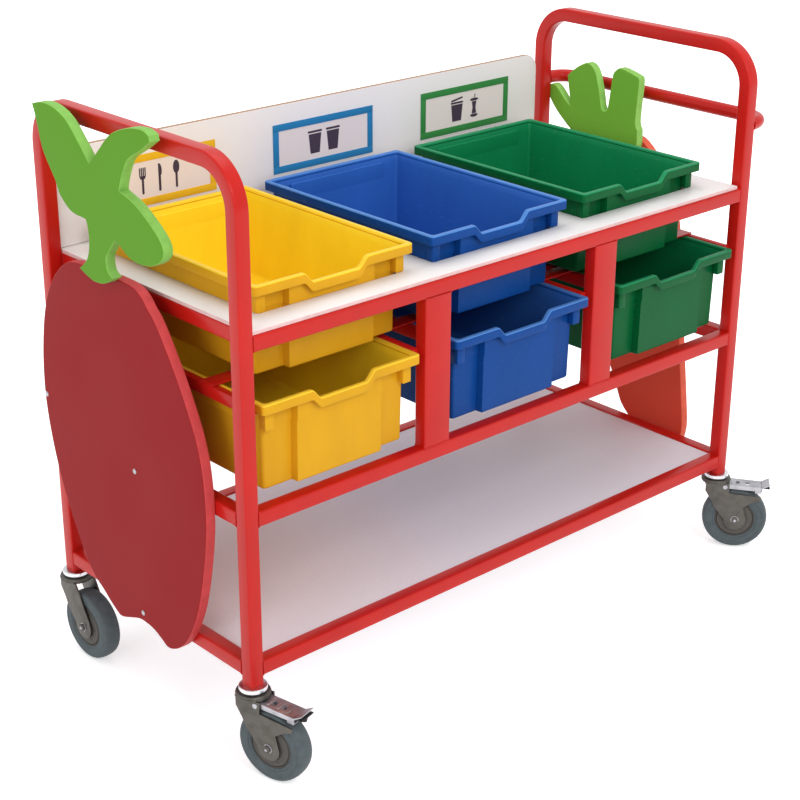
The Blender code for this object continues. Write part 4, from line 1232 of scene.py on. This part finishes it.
def make_label(colour, shapes):
    """A card, its coloured border and its picture, on the front of the rear panel."""
    along, height = LABEL_PLACES[colour]
    centre = Vector((along + ROOT.x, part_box("rear_panel")[0].y, height))
    width, rise, border = LABEL_HALF_WIDTH, LABEL_HALF_HEIGHT, LABEL_BORDER
    bm = bmesh.new()
    card = rounded_outline(2 * (width - CARD_INSET), 2 * (rise - CARD_INSET), CARD_CORNER)
    outline_plate(bm, card, centre, X, Z, (0, -CARD_DEPTH, 0))
    piece_from(bm, f"{colour}_label_card", CARD, "frame")
    bm = bmesh.new()
    for left, bottom, right, top in (
        (-width, rise - border, width, rise),
        (-width, -rise, width, border - rise),
        (-width, border - rise, border - width, rise - border),
        (width - border, border - rise, width, rise - border),
    ):
        low = centre + Vector((left, -BORDER_FRONT, bottom))
        high = centre + Vector((right, -BORDER_BACK, top))
        rounded_block(bm, low, high, BORDER_ROUND)
    piece_from(bm, f"{colour}_label_frame", LABELS[colour], "frame")
    bm = bmesh.new()
    for outline in shapes:
        outline_plate(bm, outline, centre - Y * INK_BACK, X, Z, (0, -INK_DEPTH, 0))
    piece_from(bm, f"{colour}_label_picture", INK, "frame", 50)


make_label("yellow", cutlery_picture())
make_label("blue", beaker_picture())
make_label("green", waste_picture())


# ---------------------------------------------------------------- screws

BOARD_SCREW_RADIUS = 0.0036
PANEL_SCREW_RADIUS = 0.0034
# (Y from the root, Z) of each board's screws
BODY_SCREWS = ((0.510, 0.495), (0.261, 0.186), (0.261, 0.441))
CARROT_SCREWS = ((0.262, 0.439), (0.280, 0.439), (0.200, 0.186), (0.330, 0.722))
BRACKET_PLACES = (-0.46, -0.16, 0.16, 0.46)
BRACKET_HALF = 0.014
BRACKET_THICKNESS = 0.0018
BRACKET_HEIGHT = 0.044
BRACKET_FOOT = 0.0092
BRACKET_ROUND = 0.0006
BRACKET_SCREWS = (0.014, 0.034)

bm = bmesh.new()
for places, face, outwards in (
    (BODY_SCREWS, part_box("left_end_body")[0].x, -X),
    (CARROT_SCREWS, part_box("right_end_carrot")[1].x, X),
):
    for y, z in places:
        dome_screw(bm, (face, y + ROOT.y, z), outwards, BOARD_SCREW_RADIUS)
piece_from(bm, "board_screws", PLATED, "frame")

# angle brackets behind the rear panel, which stand on the shelf
panel_low, panel_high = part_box("rear_panel")
back, bottom = panel_high.y, panel_low.z
bm = bmesh.new()
heads = bmesh.new()
for place in BRACKET_PLACES:
    x = (panel_low.x + panel_high.x) / 2 + place
    for depth, height in (
        (BRACKET_THICKNESS, BRACKET_HEIGHT), (BRACKET_FOOT, BRACKET_THICKNESS),
    ):
        high = (x + BRACKET_HALF, back + depth, bottom + height)
        rounded_block(bm, (x - BRACKET_HALF, back, bottom), high, BRACKET_ROUND)
    for height in BRACKET_SCREWS:
        place = (x, back + BRACKET_THICKNESS, bottom + height)
        dome_screw(heads, place, Y, PANEL_SCREW_RADIUS)
piece_from(bm, "panel_brackets", PLATED, "frame")
piece_from(heads, "panel_screws", BRIGHT, "frame")


# ------------------------------------------------------- floor and lights

WHITE = (1, 1, 1, 1)
FLOOR_SIZE = 14
FLOOR_COLOUR = (0.93, 0.93, 0.93, 1)
FLOOR_ROUGHNESS = 0.9
# the floor's lift to white grows from the first distance to the second
FLOOR_NEAR = 0.7
FLOOR_FAR = 2.4
FLOOR_LIFT = 0.45
WORLD_LIGHT = 0.78
# name, place, target, size and power
LIGHTS = (
    ("key_light", (-0.9, -3.2, 2.9), (0, 0, 0.5), 1.6, 48),
    ("top_light", (0.3, 0.4, 3.4), (0, 0, 0.4), 2.2, 18),
    ("left_fill", (-5.2, -1.2, 2.4), (0, 0, 0.5), 2.4, 30),
)
# the photograph's camera, fitted from the root
CAMERA_SENSOR = 36
CAMERA_LENS = 78.754
CAMERA_AZIMUTH = radians(-42.404)
CAMERA_ELEVATION = radians(23.170)
CAMERA_ROLL = radians(0.241)
CAMERA_PLACE = (-1.38566, -1.85356, 1.6279)


def seen_directly(tree):
    """1 for the camera and for reflections, 0 for light that falls on the object."""
    rays = add_node(tree, "ShaderNodeLightPath").outputs
    return calculate(tree, "MAXIMUM", rays["Is Camera Ray"], rays["Is Glossy Ray"])


def make_floor():
    """A pale floor, lifted to white for the camera, that keeps the object's shadow."""
    bpy.ops.mesh.primitive_plane_add(size=FLOOR_SIZE, location=(0, 0, 0))
    floor = bpy.context.object
    floor.name = "studio_floor"
    material, tree = new_material("studio_floor_white", FLOOR_ROUGHNESS, specular=0)
    sockets = tree.nodes[SHADER].inputs
    sockets["Base Color"].default_value = FLOOR_COLOUR
    sockets["Emission Color"].default_value = WHITE
    coords = add_node(tree, "ShaderNodeTexCoord")
    inputs = ((0, coords.outputs["Object"]),)
    reach = add_node(tree, "ShaderNodeVectorMath", inputs, operation="LENGTH").outputs["Value"]
    lift = map_range(
        tree, reach, From_Min=FLOOR_NEAR, From_Max=FLOOR_FAR, To_Min=FLOOR_LIFT, To_Max=1
    )
    feed(tree, calculate(tree, "MULTIPLY", seen_directly(tree), lift), "Emission Strength")
    set_material(floor, material)


def make_world():
    """Even white light, at full strength for the camera and for reflections."""
    world = bpy.data.worlds.new("studio_world")
    bpy.context.scene.world = world
    world.use_nodes = True
    tree = world.node_tree
    background = tree.nodes["Background"]
    background.inputs["Color"].default_value = WHITE
    strength = map_range(tree, seen_directly(tree), To_Min=WORLD_LIGHT, To_Max=1)
    tree.links.new(strength, background.inputs["Strength"])


def add_area(name, place, target, size, power):
    light = bpy.data.lights.new(name, "AREA")
    light.shape = "DISK"
    light.size = size
    light.energy = power
    lamp = add_object(name, light)
    lamp.location = place
    lamp.rotation_euler = (Vector(target) - Vector(place)).to_track_quat("-Z", "Y").to_euler()


def make_camera():
    camera_data = bpy.data.cameras.new("photo_camera")
    camera_data.sensor_width = CAMERA_SENSOR
    camera_data.lens = CAMERA_LENS
    camera = add_object("photo_camera", camera_data)
    azimuth, elevation, roll = CAMERA_AZIMUTH, CAMERA_ELEVATION, CAMERA_ROLL
    right = Vector((cos(azimuth), sin(azimuth), 0))
    level = Vector((sin(azimuth), -cos(azimuth), 0))
    back = level * cos(elevation) + Z * sin(elevation)
    up = back.cross(right)
    turned_right = right * cos(roll) + up * sin(roll)
    turned_up = up * cos(roll) - right * sin(roll)
    matrix = Matrix((turned_right, turned_up, back)).transposed().to_4x4()
    matrix.translation = ROOT + Vector(CAMERA_PLACE)
    camera.matrix_world = matrix
    bpy.context.scene.camera = camera


make_floor()
make_world()
for light in LIGHTS:
    add_area(*light)
make_camera()

bpy.context.scene.view_settings.view_transform = "Standard"
